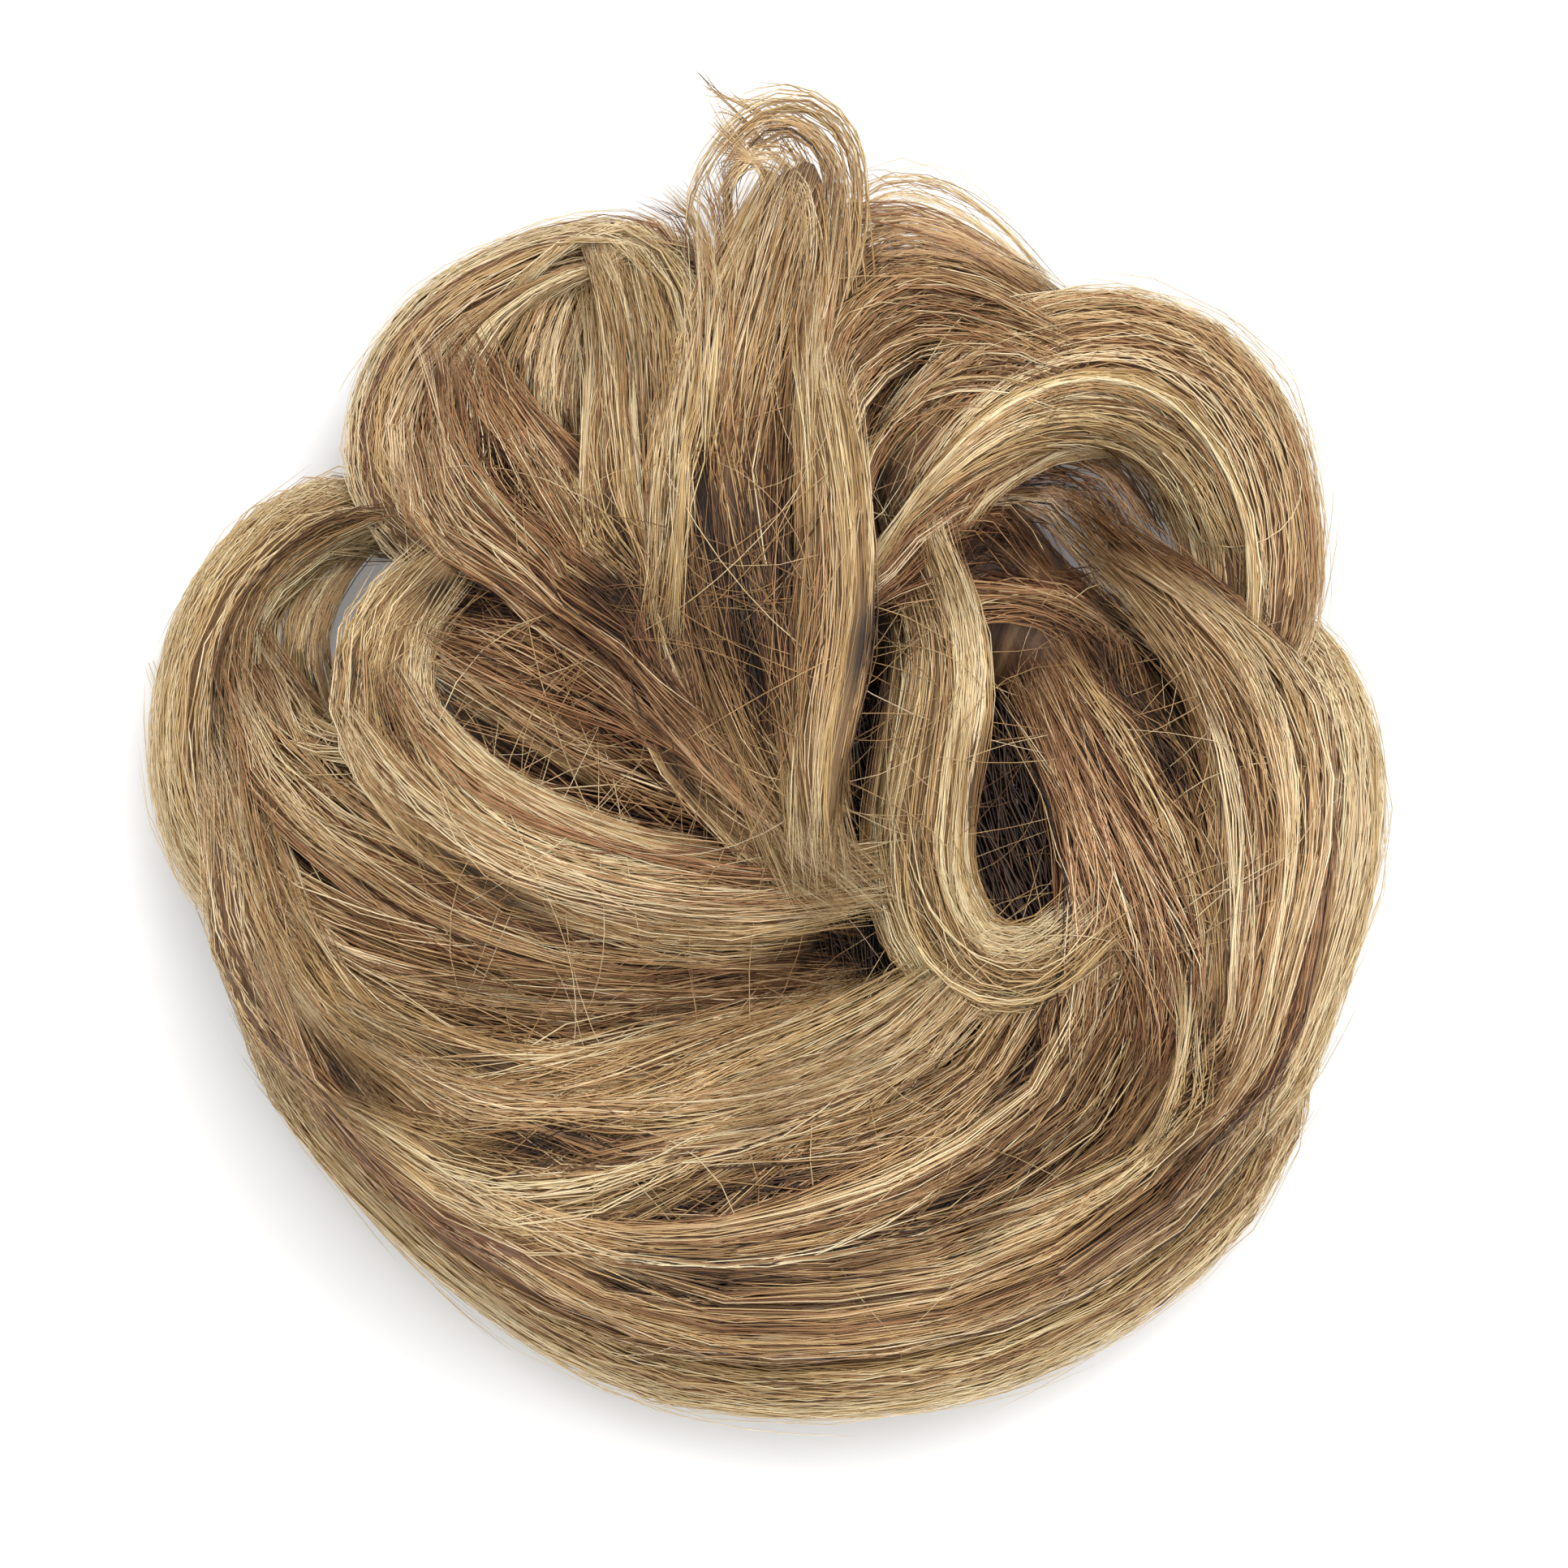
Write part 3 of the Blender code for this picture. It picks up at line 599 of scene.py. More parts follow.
def set_mesh(name, points, loops, sizes, smooth=True):
    mesh = bpy.data.meshes.new(name)
    mesh.vertices.add(len(points))
    mesh.vertices.foreach_set("co", points.astype(np.float32).ravel())
    mesh.loops.add(len(loops))
    mesh.loops.foreach_set("vertex_index", loops.astype(np.int32))
    mesh.polygons.add(len(sizes))
    starts = np.concatenate([[0], np.cumsum(sizes)[:-1]])
    mesh.polygons.foreach_set("loop_start", starts.astype(np.int32))
    mesh.update(calc_edges=True)
    if smooth:
        mesh.polygons.foreach_set("use_smooth", np.ones(len(sizes), dtype=bool))
    return mesh


def add_piece(name, mesh, material, node=None):
    """Puts a mesh in the scene as a piece of the object."""
    obj = bpy.data.objects.new(name, mesh)
    bpy.context.scene.collection.objects.link(obj)
    mesh.materials.append(material)
    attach(obj, "root")
    if node:
        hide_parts(node)
    return obj


def add_colours(mesh, colours):
    layer = mesh.color_attributes.new(COLOUR_NAME, "FLOAT_COLOR", "POINT")
    full = np.concatenate([colours, np.ones((len(colours), 1))], axis=1)
    layer.data.foreach_set("color", full.astype(np.float32).ravel())


def add_map(mesh, uvs):
    layer = mesh.uv_layers.new(name=BAKE_MAP)
    layer.data.foreach_set("uv", uvs.astype(np.float32).ravel())


def strand_mesh(name, paths, widths, tones, warmth):
    """One mesh of closed three-sided strands: paths is strand, point, axis; the other tables match it."""
    count, size = paths.shape[:2]
    tones = np.broadcast_to(tones, (count, size))
    warmth = np.broadcast_to(warmth, (count, size))
    heading = np.gradient(paths, axis=1)
    heading /= np.maximum(np.linalg.norm(heading, axis=2, keepdims=True), 1e-9)
    side = np.cross(heading, np.array([0.0, 0.0, 1.0]))
    length = np.linalg.norm(side, axis=2, keepdims=True)
    side = np.where(length > 0.05, side / np.maximum(length, 1e-9), np.array([1.0, 0.0, 0.0]))
    rise = np.cross(side, heading)
    corners = []
    for corner in range(3):
        turn = math.pi / 2 + corner * 2 * math.pi / 3
        corners.append(paths + (side * math.cos(turn) + rise * math.sin(turn)) * widths[..., None] / 2)
    points = np.stack(corners, axis=2).reshape(-1, 3)
    index = np.arange(count * size * 3).reshape(count, size, 3)
    quads = []
    for corner in range(3):
        after = (corner + 1) % 3
        quads.append(np.stack([index[:, :-1, corner], index[:, :-1, after],
                               index[:, 1:, after], index[:, 1:, corner]], axis=-1))
    quads = np.stack(quads, axis=2).reshape(-1, 4)
    caps = np.concatenate([index[:, 0, ::-1], index[:, -1, :]])
    loops = np.concatenate([quads.ravel(), caps.ravel()])
    sizes = np.concatenate([np.full(len(quads), 4), np.full(len(caps), 3)])
    mesh = set_mesh(name, points, loops, sizes)
    add_colours(mesh, np.repeat(tone_colours(tones, warmth).reshape(-1, 3), 3, axis=0))
    cells = int(math.ceil(math.sqrt(count)))
    column, row = np.arange(count) % cells, np.arange(count) // cells
    along = np.linspace(0.08, 0.92, size)
    u = np.array([0.08, 0.36, 0.64, 0.92])
    quad_u = np.stack([u[:3], u[1:], u[1:], u[:3]], axis=1)
    uv = np.zeros((count, size - 1, 3, 4, 2))
    uv[..., 0] = (column[:, None, None, None] + quad_u[None, None]) / cells
    lengthwise = np.stack([along[:-1], along[:-1], along[1:], along[1:]], axis=1)
    uv[..., 1] = (row[:, None, None, None] + lengthwise[None, :, None, :]) / cells
    cap_uv = np.zeros((2, count, 3, 2))
    cap_u = np.array([0.08, 0.09, 0.10])
    cap_uv[..., 0] = (column[None, :, None] + cap_u) / cells
    cap_uv[..., 1] = (row[None, :, None] + np.array([0.03, 0.97])[:, None, None]) / cells
    add_map(mesh, np.concatenate([uv.reshape(-1, 2), cap_uv.reshape(-1, 2)]))
    return mesh


def add_strands(name, strands, fibre, node=None):
    """Puts a piece in the scene whose strands are paths, widths, tones and warmths."""
    add_piece(name, strand_mesh(name, *strands), fibre, node)


def strand_widths(random, count, width, size):
    """Widths along each strand, which thin out to fine points."""
    along = np.linspace(-1, 1, size)
    taper = 1 - 0.88 * np.abs(along) ** 7
    return (width * random.uniform(0.65, 1.25, count))[:, None] * taper[None, :]


def waves(random, count, share, most=2.5):
    """A slow wander between about -1 and 1 for each of count strands."""
    total = 0
    for strength in (0.65, 0.35):
        rate = random.uniform(0.4, most, (count, 1))
        phase = random.uniform(0, 2 * math.pi, (count, 1))
        total = total + strength * np.sin(2 * math.pi * rate * share + phase)
    return total


def keep_above(paths, level):
    """Lifts what lies lower than a level up to it."""
    paths[..., 2] = np.maximum(paths[..., 2], level)


def spaced(random, count):
    """Shares from 0 to 1 that are spread evenly, with a little chance, in a mixed order."""
    return random.permutation((np.arange(count) + random.random(count)) / count)


def pale_hairs(random, count):
    """A few hairs of a bundle that are much paler than the rest."""
    return np.where(random.random((count, 1)) < PALE_SHARE, random.uniform(0.10, 0.34, (count, 1)), 0.0)


def lock_strands(form, pile, random):
    """Paths, widths, tones and warmths of the strands round one lock, gathered in wisps."""
    plan = form.plan
    count = plan.strands
    wisps = max(6, count // WISP_STRANDS)
    member = random.integers(0, wisps, count)
    size = points_for(form.path)
    wisp_share = np.linspace(0, 1, size)[None, :]
    under = 0.30 if form.middle[:, 0].min() < LOW_LOCK else 0.04
    wisp_turn = math.pi * (-under + (1 + 2 * under) * spaced(random, wisps))
    wisp_wander = waves(random, wisps, wisp_share, 1.2) * random.uniform(0.05, 0.30, (wisps, 1))
    wisp_reach = random.normal(0.98, 0.04, wisps)
    wisp_tone = random.normal(0, 0.14, wisps)
    spread = random.uniform(0.06, 0.24, wisps)
    start = random.random((count, 1)) * (plan.before + 0.10) - plan.before
    end = 1 - random.random((count, 1)) * (plan.after + 0.10) + plan.after
    share = start + (end - start) * wisp_share
    loose = random.random((count, 1)) < LOOSE_SHARE
    gather = 0.6 + 0.4 * np.sin(math.pi * (wisp_share + random.uniform(-0.3, 0.3, (count, 1))))
    turn = wisp_turn[member][:, None] + wisp_wander[member]
    place = random.normal(0, 1, (count, 1))
    turn = turn + place * spread[member][:, None] * gather
    turn = turn + waves(random, count, wisp_share, 1.4) * np.where(loose, 0.35, 0.04)
    reach = wisp_reach[member][:, None] + random.normal(0, plan.frizz * 0.8, (count, 1)) - 0.02 * place ** 2
    reach = reach + np.where(loose, np.abs(waves(random, count, wisp_share, 0.8)) * 0.16, 0.0)
    paths = form.points(share, turn, reach)
    paths[..., :2] = part_hair(paths[..., :2], pile.offset, LOCK_PARTING)
    drift = random.normal(0, FRAY, (count, 1, 3)) * np.array([1.0, 1.0, 0.4])
    paths = paths + drift * (np.abs(2 * wisp_share - 1) ** 3)[..., None]
    keep_above(paths, FLOOR_GAP)
    pile.over_hollow(paths)
    tones = plan.tone + wisp_tone[member][:, None] + random.normal(0, 0.06, (count, 1))
    # Painted light and shade: paler in a wisp's middle, darker at its edges where wisps meet, and darker by
    # the pile's painted shade
    tones = tones + 0.07 - 0.06 * place ** 2
    tones = tones + waves(random, count, wisp_share, 0.9) * 0.04 - pile.shade(paths)
    tones = tones + np.where(loose, 0.08, 0.0) + pale_hairs(random, count)
    warmth = WARMTH[plan.slot] + random.normal(0, 0.22, wisps)[member][:, None]
    width = np.where(loose, FINE_WIDTH, STRAND_WIDTH)[:, 0]
    return paths, strand_widths(random, count, width, size), tones, warmth


# Outline locks whose outer side carries a fringe of fine hairs: the turn that faces out, the share of the
# lock's length up to which it makes the outline, and the hairs
RIMS = (
    ("lower_rim_lock", 0.0, 1.05, 230),
    ("left_outer_curl", math.pi, 0.70, 150),
    ("right_outer_lock", 0.0, 1.05, 150),
    ("upper_back_lock", 0.0, 1.05, 60),
    ("upper_right_curl", 0.0, 1.05, 140),
    ("upper_left_curl", math.pi, 0.75, 110),
)


def rim_strands(form, outward, until, count, random):
    """Pale hairs that leave the outer side of a lock a little and come back to it, painted paler still with
    light that shines through them at the outline.
    """
    share = np.linspace(0, 1, SHORT_POINTS)[None, :]
    length = random.uniform(0.15, 0.5, (count, 1))
    along = random.uniform(-0.05, until, (count, 1)) + (share - 0.5) * length
    turn = outward + random.normal(0, 0.45, (count, 1)) + waves(random, count, share, 0.8) * 0.2
    away = np.abs(random.normal(0, 0.17, (count, 1)))
    free = random.choice([-1.0, 1.0], (count, 1))
    leaving = np.where(free > 0, share, 1 - share)
    reach = 1.0 + away * leaving ** 1.5 + waves(random, count, share, 1.2) * 0.02
    paths = form.points(along, turn, reach)
    keep_above(paths, FLOOR_GAP)
    # Painted light: the fringe hairs paler than their lock, as light shines through them at the outline
    tones = random.normal(0.94, 0.06, (count, 1))
    warmth = random.uniform(0, 0.4, (count, 1))
    return paths, strand_widths(random, count, FINE_WIDTH, SHORT_POINTS), tones, warmth


def core_mesh(form, pile):
    """The closed body of a lock, a little inside its strands, with painted shade where it lies deep, in the
    gaps and in the zones.
    """
    share = np.linspace(0.0, 1.0, CORE_STATIONS)[:, None]
    turn = round_steps(CORE_SIDES)[None, :]
    share, turn = np.broadcast_arrays(share, turn)
    rounding = (1 - 0.96 * np.abs(2 * share - 1) ** 14) ** 0.5
    points = form.points(share, turn, CORE_SHARE * rounding)
    index = np.arange(CORE_STATIONS * CORE_SIDES).reshape(CORE_STATIONS, CORE_SIDES)
    after = np.roll(index, -1, axis=1)
    quads = np.stack([index[:-1], index[1:], after[1:], after[:-1]], axis=-1).reshape(-1, 4)
    loops = np.concatenate([quads.ravel(), index[0], index[-1, ::-1]])
    sizes = np.concatenate([np.full(len(quads), 4), [CORE_SIDES, CORE_SIDES]])
    mesh = set_mesh(form.plan.name, points.reshape(-1, 3), loops, sizes)
    # Painted shade: the light that the body holds at its points, from the pile's shade
    light = np.clip(1 - 1.8 * pile.shade(points).reshape(-1, 1), 0.08, 1)
    add_colours(mesh, np.repeat(light, 3, axis=1))
    u = np.linspace(0, 1, CORE_SIDES + 1) * 0.9 + 0.05
    v = np.linspace(0, 1, CORE_STATIONS) * 0.9 + 0.05
    uv = np.zeros((CORE_STATIONS - 1, CORE_SIDES, 4, 2))
    uv[..., 0] = np.stack([u[:-1], u[:-1], u[1:], u[1:]], axis=1)[None]
    uv[..., 1] = np.stack([v[:-1], v[1:], v[1:], v[:-1]], axis=1)[:, None]
    caps = np.zeros((2, CORE_SIDES, 2))
    around = turn[0]
    caps[..., 0] = 0.5 + 0.02 * np.cos(around)
    caps[0, :, 1] = 0.025 + 0.02 * np.sin(around)
    caps[1, :, 1] = 0.975 + 0.02 * np.sin(around)
    add_map(mesh, np.concatenate([uv.reshape(-1, 2), caps.reshape(-1, 2)]))
    return mesh


def new_material(name, roughness):
    material = bpy.data.materials.new(name)
    material.use_nodes = True
    shader = material.node_tree.nodes["Principled BSDF"]
    shader.inputs["Roughness"].default_value = roughness
    return material, material.node_tree, shader


def add_node(tree, kind, values=(), sources=()):
    """A shader node with values for some of its inputs, and links from outputs to others."""
    node = tree.nodes.new(f"ShaderNode{kind}")
    for name, value in dict(values).items():
        node.inputs[name].default_value = value
    for name, output in dict(sources).items():
        tree.links.new(output, node.inputs[name])
    return node


def add_product(tree, first, second):
    """The product of two colours."""
    mix = add_node(tree, "Mix")
    mix.data_type = "RGBA"
    mix.blend_type = "MULTIPLY"
    mix.inputs["Factor"].default_value = 1.0
    tree.links.new(first, mix.inputs["A"])
    tree.links.new(second, mix.inputs["B"])
    return mix.outputs["Result"]


def add_held_colour(tree):
    """The colour that a piece holds at its points: the strands' hair colour with painted shade in it, and
    the bodies' painted shade.
    """
    held = add_node(tree, "VertexColor")
    held.layer_name = COLOUR_NAME
    return held.outputs["Color"]


def add_ramp(tree, value, low, high, *between):
    """Colours for a value, from stops that each have a position and a colour."""
    ramp = add_node(tree, "ValToRGB", sources={"Fac": value})
    elements = ramp.color_ramp.elements
    for element, (position, colour) in zip(elements, (low, high)):
        element.position = position
        element.color = (*colour, 1.0)
    for position, colour in between:
        elements.new(position).color = (*colour, 1.0)
    return ramp.outputs["Color"]


def strand_material():
    """Glossy fibre whose colour, with painted shade in it, is held by each strand, with small changes along
    it.
    """
    material, tree, shader = new_material("hair_strands", 0.42)
    place = add_node(tree, "TexCoord")
    noise = add_node(tree, "TexNoise", {"Scale": 90.0, "Detail": 2.0}, {"Vector": place.outputs["Object"]})
    change = add_node(tree, "MapRange", {"To Min": 0.84, "To Max": 1.16}, {"Value": noise.outputs["Fac"]})
    colour = add_product(tree, add_held_colour(tree), change.outputs["Result"])
    tree.links.new(colour, shader.inputs["Base Color"])
    shader.inputs["Specular IOR Level"].default_value = 0.32
    return material


def combed_material(name, tone, warmth):
    """The body of a lock: fine lengthwise streaks in colour and relief, set mostly darker than the lock's
    tone as painted shade between its strands, and times the painted shade the body holds.
    """
    material, tree, shader = new_material(name, 0.5)
    place = add_node(tree, "UVMap")
    place.uv_map = BAKE_MAP
    stretch = add_node(tree, "Mapping", {"Scale": (80.0, 1.6, 1.0)}, {"Vector": place.outputs["UV"]})
    streaks = {"Scale": 1.6, "Detail": 7.0, "Roughness": 0.72, "Distortion": 0.25}
    noise = add_node(tree, "TexNoise", streaks, {"Vector": stretch.outputs["Vector"]}).outputs["Fac"]
    # Streak colours from well below the lock's tone to a little above it: random streaks, set low as painted
    # shade between the strands
    low, centre, high = tone_colours(np.array([tone - 0.36, tone - 0.18, tone + 0.06]), np.full(3, warmth))
    colour = add_ramp(tree, noise, (0.36, low), (0.66, high), (0.5, centre))
    bump = add_node(tree, "Bump", {"Strength": 0.9, "Distance": RELIEF}, {"Height": noise})
    tree.links.new(add_product(tree, colour, add_held_colour(tree)), shader.inputs["Base Color"])
    tree.links.new(bump.outputs["Normal"], shader.inputs["Normal"])
    return material


def band_material():
    material, tree, shader = new_material("band_cloth", 0.85)
    place = add_node(tree, "TexCoord")
    noise = add_node(tree, "TexNoise", {"Scale": 1400.0}, {"Vector": place.outputs["Object"]})
    colour = add_ramp(tree, noise.outputs["Fac"], (0.0, (0.035, 0.018, 0.010)), (1.0, (0.120, 0.070, 0.042)))
    tree.links.new(colour, shader.inputs["Base Color"])
    return material


def cover_strands(cover, lines, pile, random):
    """Strands that lie over neighbouring locks, from one route to the next."""
    count = cover.strands
    stretches = [(part, 0.0, 1.0) if isinstance(part, str) else part for part in cover.stretches]
    size = max(points_for(read_along(lines[name], np.linspace(begin, finish, STATIONS)))
               for name, begin, finish in stretches)
    share = np.linspace(0, 1, size)[None, :]
    last = len(stretches) - 1
    spots = last * spaced(random, max(6, count // 10))
    member = random.integers(0, len(spots), count)
    place = random.normal(0, 1, (count, 1))
    order = spots[member][:, None] + place * random.uniform(0.02, 0.09, len(spots))[member][:, None]
    order = order + waves(random, len(spots), share, 0.8)[member] * 0.13
    crossing = random.random((count, 1)) < CROSSING_SHARE
    order = order + waves(random, count, share, 0.9) * np.where(crossing, 0.34, 0.05)
    order = np.clip(order, -0.12, last + 0.12)
    first = np.clip(np.floor(order).astype(int), 0, last - 1)
    start = random.uniform(-0.04, 0.3, (count, 1)) * random.integers(0, 2, (count, 1))
    end = 1 - random.uniform(-0.04, 0.3, (count, 1)) * random.integers(0, 2, (count, 1))
    along = start + (end - start) * share
    routes = np.stack([read_along(lines[name], begin + (finish - begin) * along)
                       for name, begin, finish in stretches])
    strand, point = np.indices(first.shape)
    rest = (order - first)[..., None]
    plan = routes[first, strand, point] * (1 - rest) + routes[first + 1, strand, point] * rest
    plan = part_hair(plan, pile.offset)
    plan = plan + random.normal(0, 0.5 * FRAY, (count, 1, 2)) * (np.abs(2 * share - 1) ** 3)[..., None]
    lift = random.uniform(-0.2, 1.9, len(spots))[member][:, None] - 0.6 * place ** 2
    lift = np.where(crossing, 1.2, lift)
    lift = (np.maximum(lift, -0.6) + random.uniform(-0.2, 0.3, (count, 1))) * MM
    paths = drape(plan, pile, lift + cover.lift * MM)
    keep_above(paths, cover.least * MM)
    pile.over_hollow(paths)
    # Painted light and shade: paler in a wisp's middle, darker at its edges, and darker by the cover's share
    # of the pile's painted shade
    tones = cover.tone + random.normal(0, 0.17, len(spots))[member][:, None] + 0.09 - 0.09 * place ** 2
    tones = tones + random.normal(0, 0.06, (count, 1)) - cover.shaded * pile.shade(paths)
    tones = tones + pale_hairs(random, count)
    warmth = WARMTH[cover.slot] + random.normal(0, 0.22, len(spots))[member][:, None]
    return paths, strand_widths(random, count, STRAND_WIDTH * cover.width, size), tones, warmth


def drape(plan, pile, lift):
    """Paths over places of the plan that lie on the pile and bridge its narrow gaps."""
    top = pile.sample(pile.top, plan)
    height = np.maximum(pile.sample(pile.sheet, plan), top - SHEET_DROP)
    height = soften(np.maximum(soften(height.T, 2).T, height - BRIDGE_DROP).T).T
    return np.concatenate([plan, np.maximum(height + lift, COVER_FLOOR)[..., None]], axis=-1)


# Places where hairs stray over the locks, as shares of HALF_SPAN: middle, spread, hairs and longest arc
STRAYS = (
    ("stray_left", (-0.20, 0.22), (0.30, 0.20), 110, 0.95),
    ("stray_right", (0.53, 0.00), (0.20, 0.36), 100, 0.90),
    ("stray_lower", (-0.05, -0.52), (0.45, 0.22), 70, 1.05),
    ("stray_upper", (0.10, 0.62), (0.42, 0.28), 80, 0.85),
)


def stray_strands(middle, spread, count, longest, offset, pile, random):
    """Single fine hairs that cross the locks in slow arcs."""
    share = np.linspace(-0.5, 0.5, STRAY_POINTS)[None, :]
    centre = (random.normal(middle, spread, (count, 2)) * HALF_SPAN + offset)[:, None, :]
    heading = random.uniform(0, math.pi, (count, 1))
    length = random.uniform(0.4, 1.0, (count, 1)) * longest * HALF_SPAN
    bend = random.normal(0, 1.9, (count, 1))
    turned = heading + bend * share + waves(random, count, share, 1.0) * 0.2
    step = length / (STRAY_POINTS - 1)
    steps = np.stack([np.cos(turned), np.sin(turned)], axis=-1) * step[..., None]
    plan = np.cumsum(steps, axis=1)
    plan = centre + plan - plan.mean(axis=1, keepdims=True)
    lift = (random.uniform(0.2, 2.2, (count, 1)) + waves(random, count, share, 1.0) * 0.4) * MM
    paths = drape(plan, pile, lift)
    inside = pile.sample(pile.top, plan).min(axis=1) > STRAY_LEVEL
    # Painted shade: stray hairs darker by half the pile's painted shade
    tones = random.normal(0.80, 0.12, (count, 1)) - 0.5 * pile.shade(paths)
    warmth = random.uniform(0, 0.6, (count, 1))
    widths = strand_widths(random, count, FINE_WIDTH, STRAY_POINTS)
    return paths[inside], widths[inside], tones[inside], warmth[inside]


def painted_shade_cap_strands(hollow, random, count=340):
    """Hair that crosses high over the hollow, above the wearer's knot, painted near-black as the shade deep
    in the hollow.
    """
    share = np.linspace(-1, 1, SHORT_POINTS)[None, :]
    heading = random.normal(CAP_HEADING, 0.14, (count, 1))
    along = np.stack([np.cos(heading), np.sin(heading)], axis=-1)
    side = np.stack([-np.sin(heading), np.cos(heading)], axis=-1)
    off = random.uniform(-0.97, 0.97, (count, 1))
    half = np.sqrt(1 - off ** 2) * HOLLOW_RADIUS + 1.5 * MM
    plan = hollow + along * (share * half)[..., None]
    plan = plan + side * (off * HOLLOW_RADIUS + waves(random, count, share, 0.8) * 1.2 * MM)[..., None]
    height = np.broadcast_to(CAP_LEVEL + random.uniform(-0.9, 1.4, (count, 1)) * MM, plan.shape[:2])
    paths = np.concatenate([plan, height[..., None]], axis=-1)
    # Painted shade: near-black tones that stand for the shade in the hollow
    tones = random.normal(0.07, 0.05, (count, 1))
    warmth = random.uniform(0.3, 0.9, (count, 1))
    return paths, strand_widths(random, count, CAP_WIDTH, SHORT_POINTS), tones, warmth


class RingForm:
    """The ring of hair round the hollow: distances from a middle line to the surface of the solid."""

    azimuths = 48
    turns = 28

    def __init__(self, hollow):
        self.hollow = np.array(hollow)
        tree = solid_tree("hair_base")
        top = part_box("hair_base")[1][2]
        theta = round_steps(self.azimuths)
        phi = round_steps(self.turns)
        self.radius = np.zeros(self.azimuths)
        self.height = top * 0.45
        self.reach = np.zeros((self.azimuths, self.turns))
        for i, azimuth in enumerate(theta):
            outward = np.array([math.cos(azimuth), math.sin(azimuth), 0.0])
            start = np.array([*self.hollow, self.height])
            inner = cast(tree, start, outward)
            outer = cast(tree, start + outward * 0.2, -outward)
            reaches = [np.dot(found - start, outward) for found in (inner, outer)]
            self.radius[i] = sum(reaches) / 2
            middle = start + outward * self.radius[i]
            for j, turn in enumerate(phi):
                heading = outward * math.cos(turn) + np.array([0, 0, math.sin(turn)])
                found = cast(tree, middle, heading)
                self.reach[i, j] = 0.0 if found is None else np.linalg.norm(found - middle)

    def points(self, theta, phi, share):
        place = np.mod(theta, 2 * math.pi) / (2 * math.pi) * self.azimuths
        turn = np.mod(phi, 2 * math.pi) / (2 * math.pi) * self.turns
        i, j = place.astype(int) % self.azimuths, turn.astype(int) % self.turns
        u, v = place - np.floor(place), turn - np.floor(turn)
        after, beside = (i + 1) % self.azimuths, (j + 1) % self.turns
        reach = read_grid(self.reach, i, j, after, beside, u, v) * share
        radius = self.radius[i] * (1 - u) + self.radius[after] * u + reach * np.cos(phi)
        return np.stack([self.hollow[0] + radius * np.cos(theta), self.hollow[1] + radius * np.sin(theta),
                         self.height + reach * np.sin(phi)], axis=-1)


def ring_mesh(name, points):
    """A closed ring through rows of points, one row for each step round the ring."""
    rows, sides = points.shape[:2]
    index = np.arange(rows * sides).reshape(rows, sides)
    after, beside = np.roll(index, -1, axis=0), np.roll(index, -1, axis=1)
    quads = np.stack([index, after, np.roll(after, -1, axis=1), beside], axis=-1).reshape(-1, 4)
    mesh = set_mesh(name, points.reshape(-1, 3), quads.ravel(), np.full(len(quads), 4))
    u = np.linspace(0.03, 0.97, rows + 1)
    v = np.linspace(0.03, 0.97, sides + 1)
    uv = np.zeros((rows, sides, 4, 2))
    uv[..., 0] = np.stack([u[:-1], u[1:], u[1:], u[:-1]], axis=1)[:, None]
    uv[..., 1] = np.stack([v[:-1], v[:-1], v[1:], v[1:]], axis=1)[None]
    add_map(mesh, uv.reshape(-1, 2))
    return mesh


def base_strands(base, random, count=380):
    """Hair that leaves the band inside the hollow, wraps the ring and turns round it as it goes."""
    share = np.linspace(0, 1, SHORT_POINTS)[None, :]
    member = random.integers(0, BASE_WISPS, count)
    theta = random.uniform(0, 2 * math.pi, BASE_WISPS)[member][:, None] + random.normal(0, 0.07, (count, 1))
    theta = theta + 0.55 * share + waves(random, BASE_WISPS, share, 0.8)[member] * 0.04
    first = random.uniform(0.9, 1.35, (count, 1)) * math.pi
    phi = first + share * random.uniform(0.7, 1.1, (count, 1)) * math.pi
    paths = base.points(theta, phi, random.normal(1.0, 0.012, (count, 1)))
    keep_above(paths, 0.25 * MM)
    tones = 0.42 + random.normal(0, 0.09, BASE_WISPS)[member][:, None] + random.normal(0, 0.06, (count, 1))
    warmth = 0.5 + random.normal(0, 0.2, BASE_WISPS)[member][:, None]
    return paths, strand_widths(random, count, STRAND_WIDTH, SHORT_POINTS), tones, warmth


def band_points(hollow):
    """The covered elastic: an upright rounded band with fine gathers round it."""
    low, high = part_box("elastic_band")
    outer = (high[0] - low[0]) / 2
    tall = high[2] - low[2]
    theta = round_steps(240)[:, None]
    phi = round_steps(16)[None, :]
    gather = 1 - BAND_GATHER * (1 + np.sin(BAND_GATHERS * theta))
    across = squared_off(np.cos(phi), BAND_SQUARENESS) * BAND_WALL / 2 * gather
    rise = squared_off(np.sin(phi), BAND_SQUARENESS) * tall / 2 * gather
    radius = outer - BAND_WALL / 2 + across
    middle = (low[2] + high[2]) / 2
    return np.stack([hollow[0] + radius * np.cos(theta), hollow[1] + radius * np.sin(theta),
                     middle + rise], axis=-1)


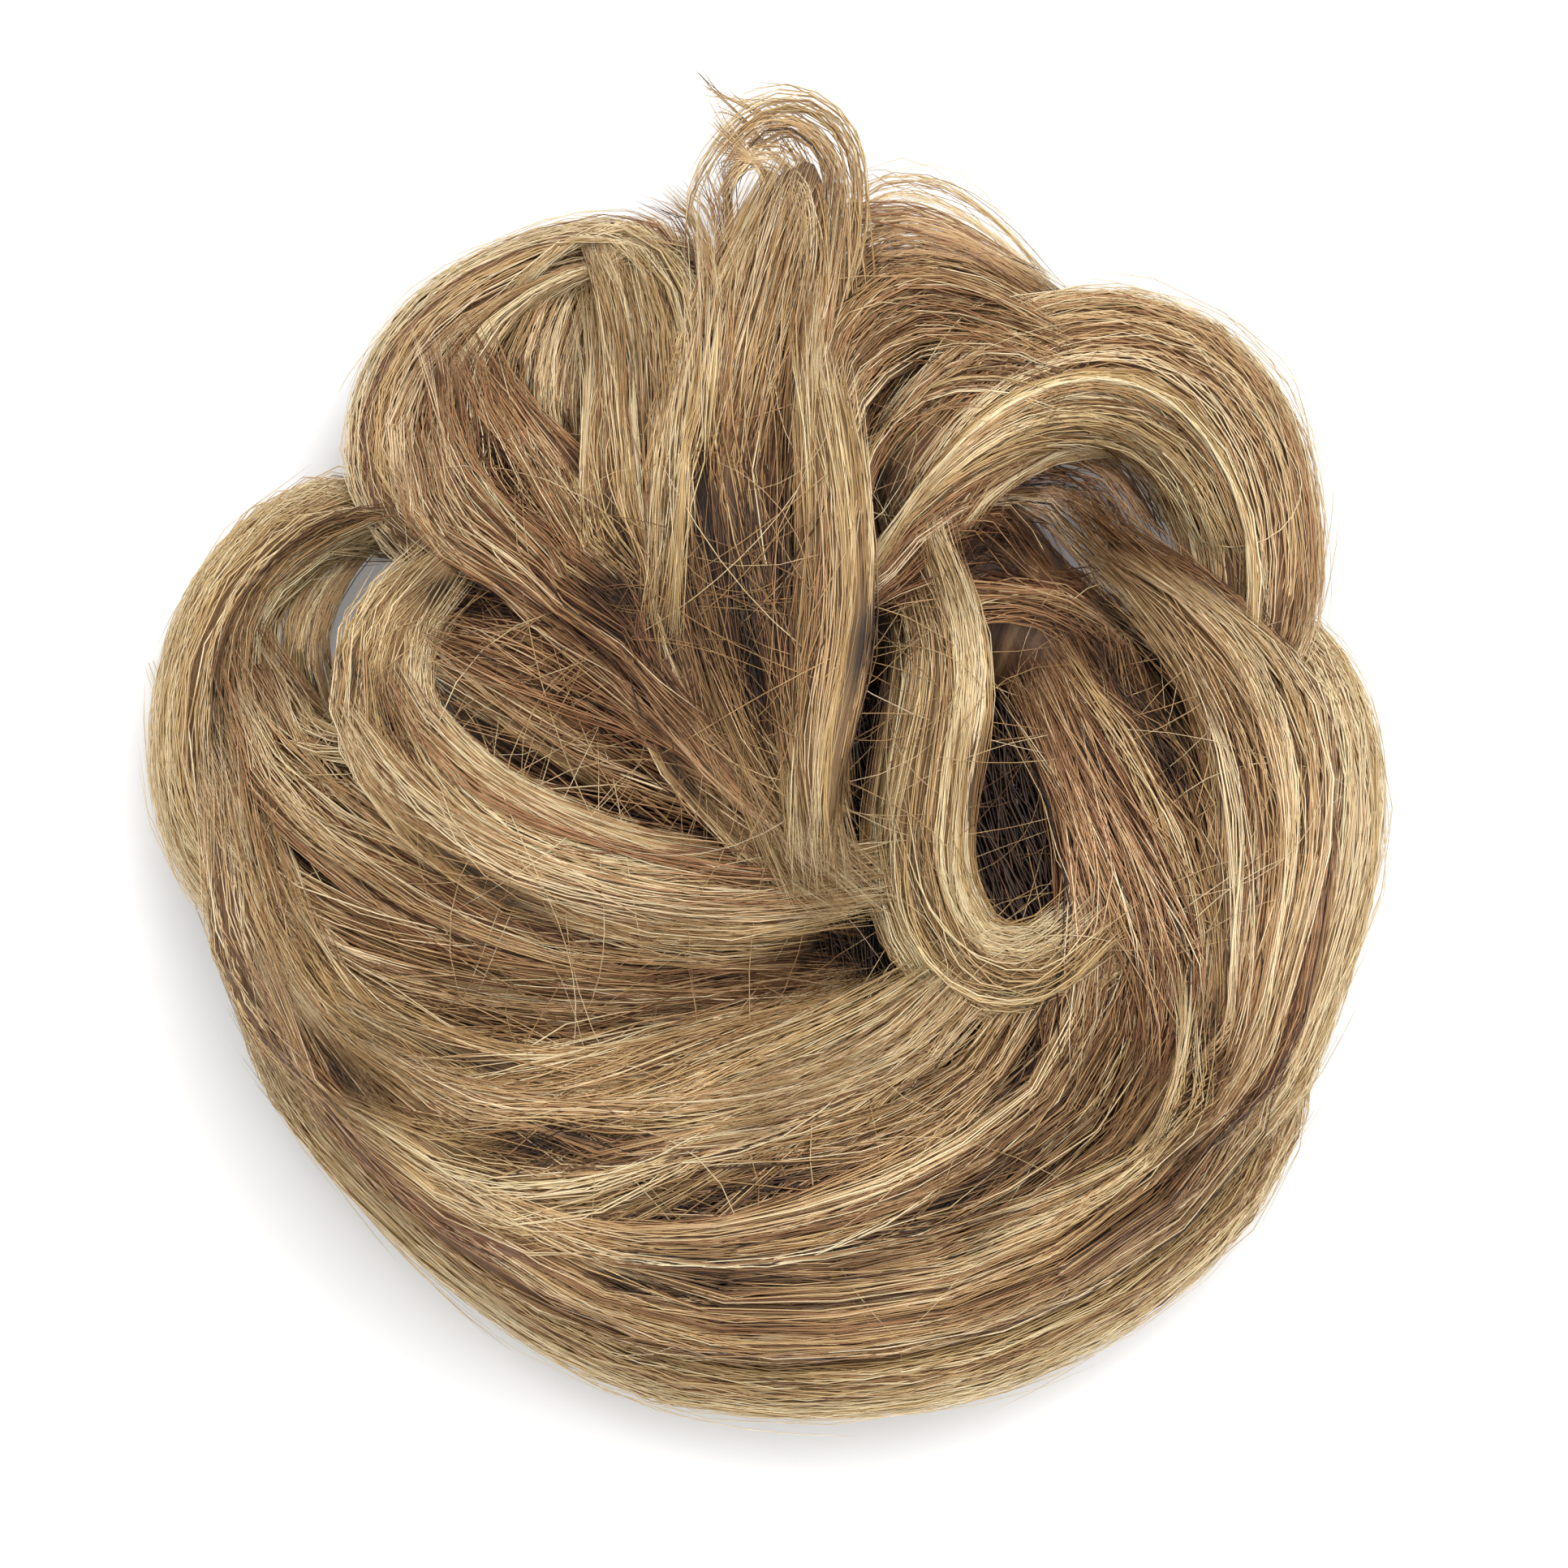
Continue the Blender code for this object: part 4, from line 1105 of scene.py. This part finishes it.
def main():
    random = np.random.default_rng(SEED)
    lowest, highest = (np.array(corner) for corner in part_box("elastic_band"))
    hollow = (lowest + highest)[:2] / 2
    offset = hollow - HOLLOW_SHARES * HALF_SPAN
    forms = {plan.name: Form(plan, offset) for plan in PLANS}
    lines = {name: form.path for name, form in forms.items()}
    lines.update({name: smooth_route(route, offset) for name, route in GUIDES.items()})
    pile = Pile(solid_tree(*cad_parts), *CAD_BOX, offset)
    fibre = strand_material()
    bodies = {}
    for plan in PLANS:
        if plan.slot not in bodies:
            bodies[plan.slot] = combed_material(f"combed_{plan.slot}", plan.tone, WARMTH[plan.slot])
        form = forms[plan.name]
        bare = plan.frizz > MOST_FRIZZ
        add_strands(f"{plan.name}_strands", lock_strands(form, pile, random), fibre,
                    plan.name if bare else None)
        if not bare:
            add_piece(f"{plan.name}_body", core_mesh(form, pile), bodies[plan.slot], plan.name)
    for cover in COVERS:
        add_strands(cover.name, cover_strands(cover, lines, pile, random), fibre)
    for name, outward, until, count in RIMS:
        fringe = rim_strands(forms[name], outward, until, count, random)
        add_strands(f"{name}_fringe", fringe, fibre)
    for name, middle, spread, count, longest in STRAYS:
        hairs = stray_strands(middle, spread, count, longest, offset, pile, random)
        add_strands(name, hairs, fibre)
    add_strands("hollow_painted_shade_cap", painted_shade_cap_strands(hollow, random), fibre)
    base = RingForm(hollow)
    theta = round_steps(96)[:, None]
    phi = round_steps(28)[None, :]
    theta, phi = np.broadcast_arrays(theta, phi)
    mesh = ring_mesh("base_ring", base.points(theta, phi, BASE_SHARE))
    # Painted shade: the ring's body holds a low light all over, as it lies deep under the locks
    add_colours(mesh, np.full((theta.size, 3), BASE_PAINTED_LIGHT))
    add_piece("base_ring", mesh, bodies["brown_hair"], "hair_base")
    add_strands("base_strands", base_strands(base, random), fibre)
    mesh = ring_mesh("band_cover", band_points(hollow))
    add_piece("band_cover", mesh, band_material(), "elastic_band")
    make_stage(offset)


def make_world():
    """Even white light from all round, and a soft brighter patch of it at the upper right."""
    world = bpy.data.worlds.new("studio")
    world.use_nodes = True
    world.cycles.sampling_method = "NONE"
    tree = world.node_tree
    place = add_node(tree, "TexCoord")
    towards = add_node(tree, "VectorMath", {1: Vector(PATCH_DIRECTION).normalized()},
                       {0: place.outputs["Generated"]})
    towards.operation = "DOT_PRODUCT"
    level = towards.outputs["Value"]
    for operation, numbers in (("MAXIMUM", {1: 0.0}), ("POWER", {1: PATCH_FOCUS}),
                               ("MULTIPLY_ADD", {1: PATCH_STRENGTH, 2: WORLD_STRENGTH})):
        step = add_node(tree, "Math", numbers, {0: level})
        step.operation = operation
        level = step.outputs["Value"]
    background = tree.nodes["Background"]
    background.inputs["Color"].default_value = (1.0, 1.0, 1.0, 1.0)
    tree.links.new(level, background.inputs["Strength"])
    return world


def make_stage(offset):
    """A pale floor, the world's light, and a camera that looks straight down."""
    scene = bpy.context.scene
    scene.view_settings.view_transform = "Standard"
    scene.world = make_world()
    corners = np.array([(-1, -1, 0), (1, -1, 0), (1, 1, 0), (-1, 1, 0)]) * FLOOR_HALF
    mesh = set_mesh("floor", corners, np.arange(4), np.array([4]), smooth=False)
    material, _, shader = new_material("paper_white", 0.9)
    shader.inputs["Base Color"].default_value = (0.93, 0.93, 0.93, 1.0)
    mesh.materials.append(material)
    floor = bpy.data.objects.new("floor", mesh)
    floor.location.z = -FLOOR_DROP
    scene.collection.objects.link(floor)
    data = bpy.data.cameras.new("camera")
    data.sensor_width = SENSOR
    data.lens = SENSOR * (CAMERA_HEIGHT - FRAME_LEVEL) / FRAME_WIDTH
    data.clip_end = 10.0
    camera = bpy.data.objects.new("camera", data)
    camera.location = (FRAME_CENTRE[0] + offset[0], FRAME_CENTRE[1] + offset[1], CAMERA_HEIGHT)
    scene.collection.objects.link(camera)
    scene.camera = camera


main()
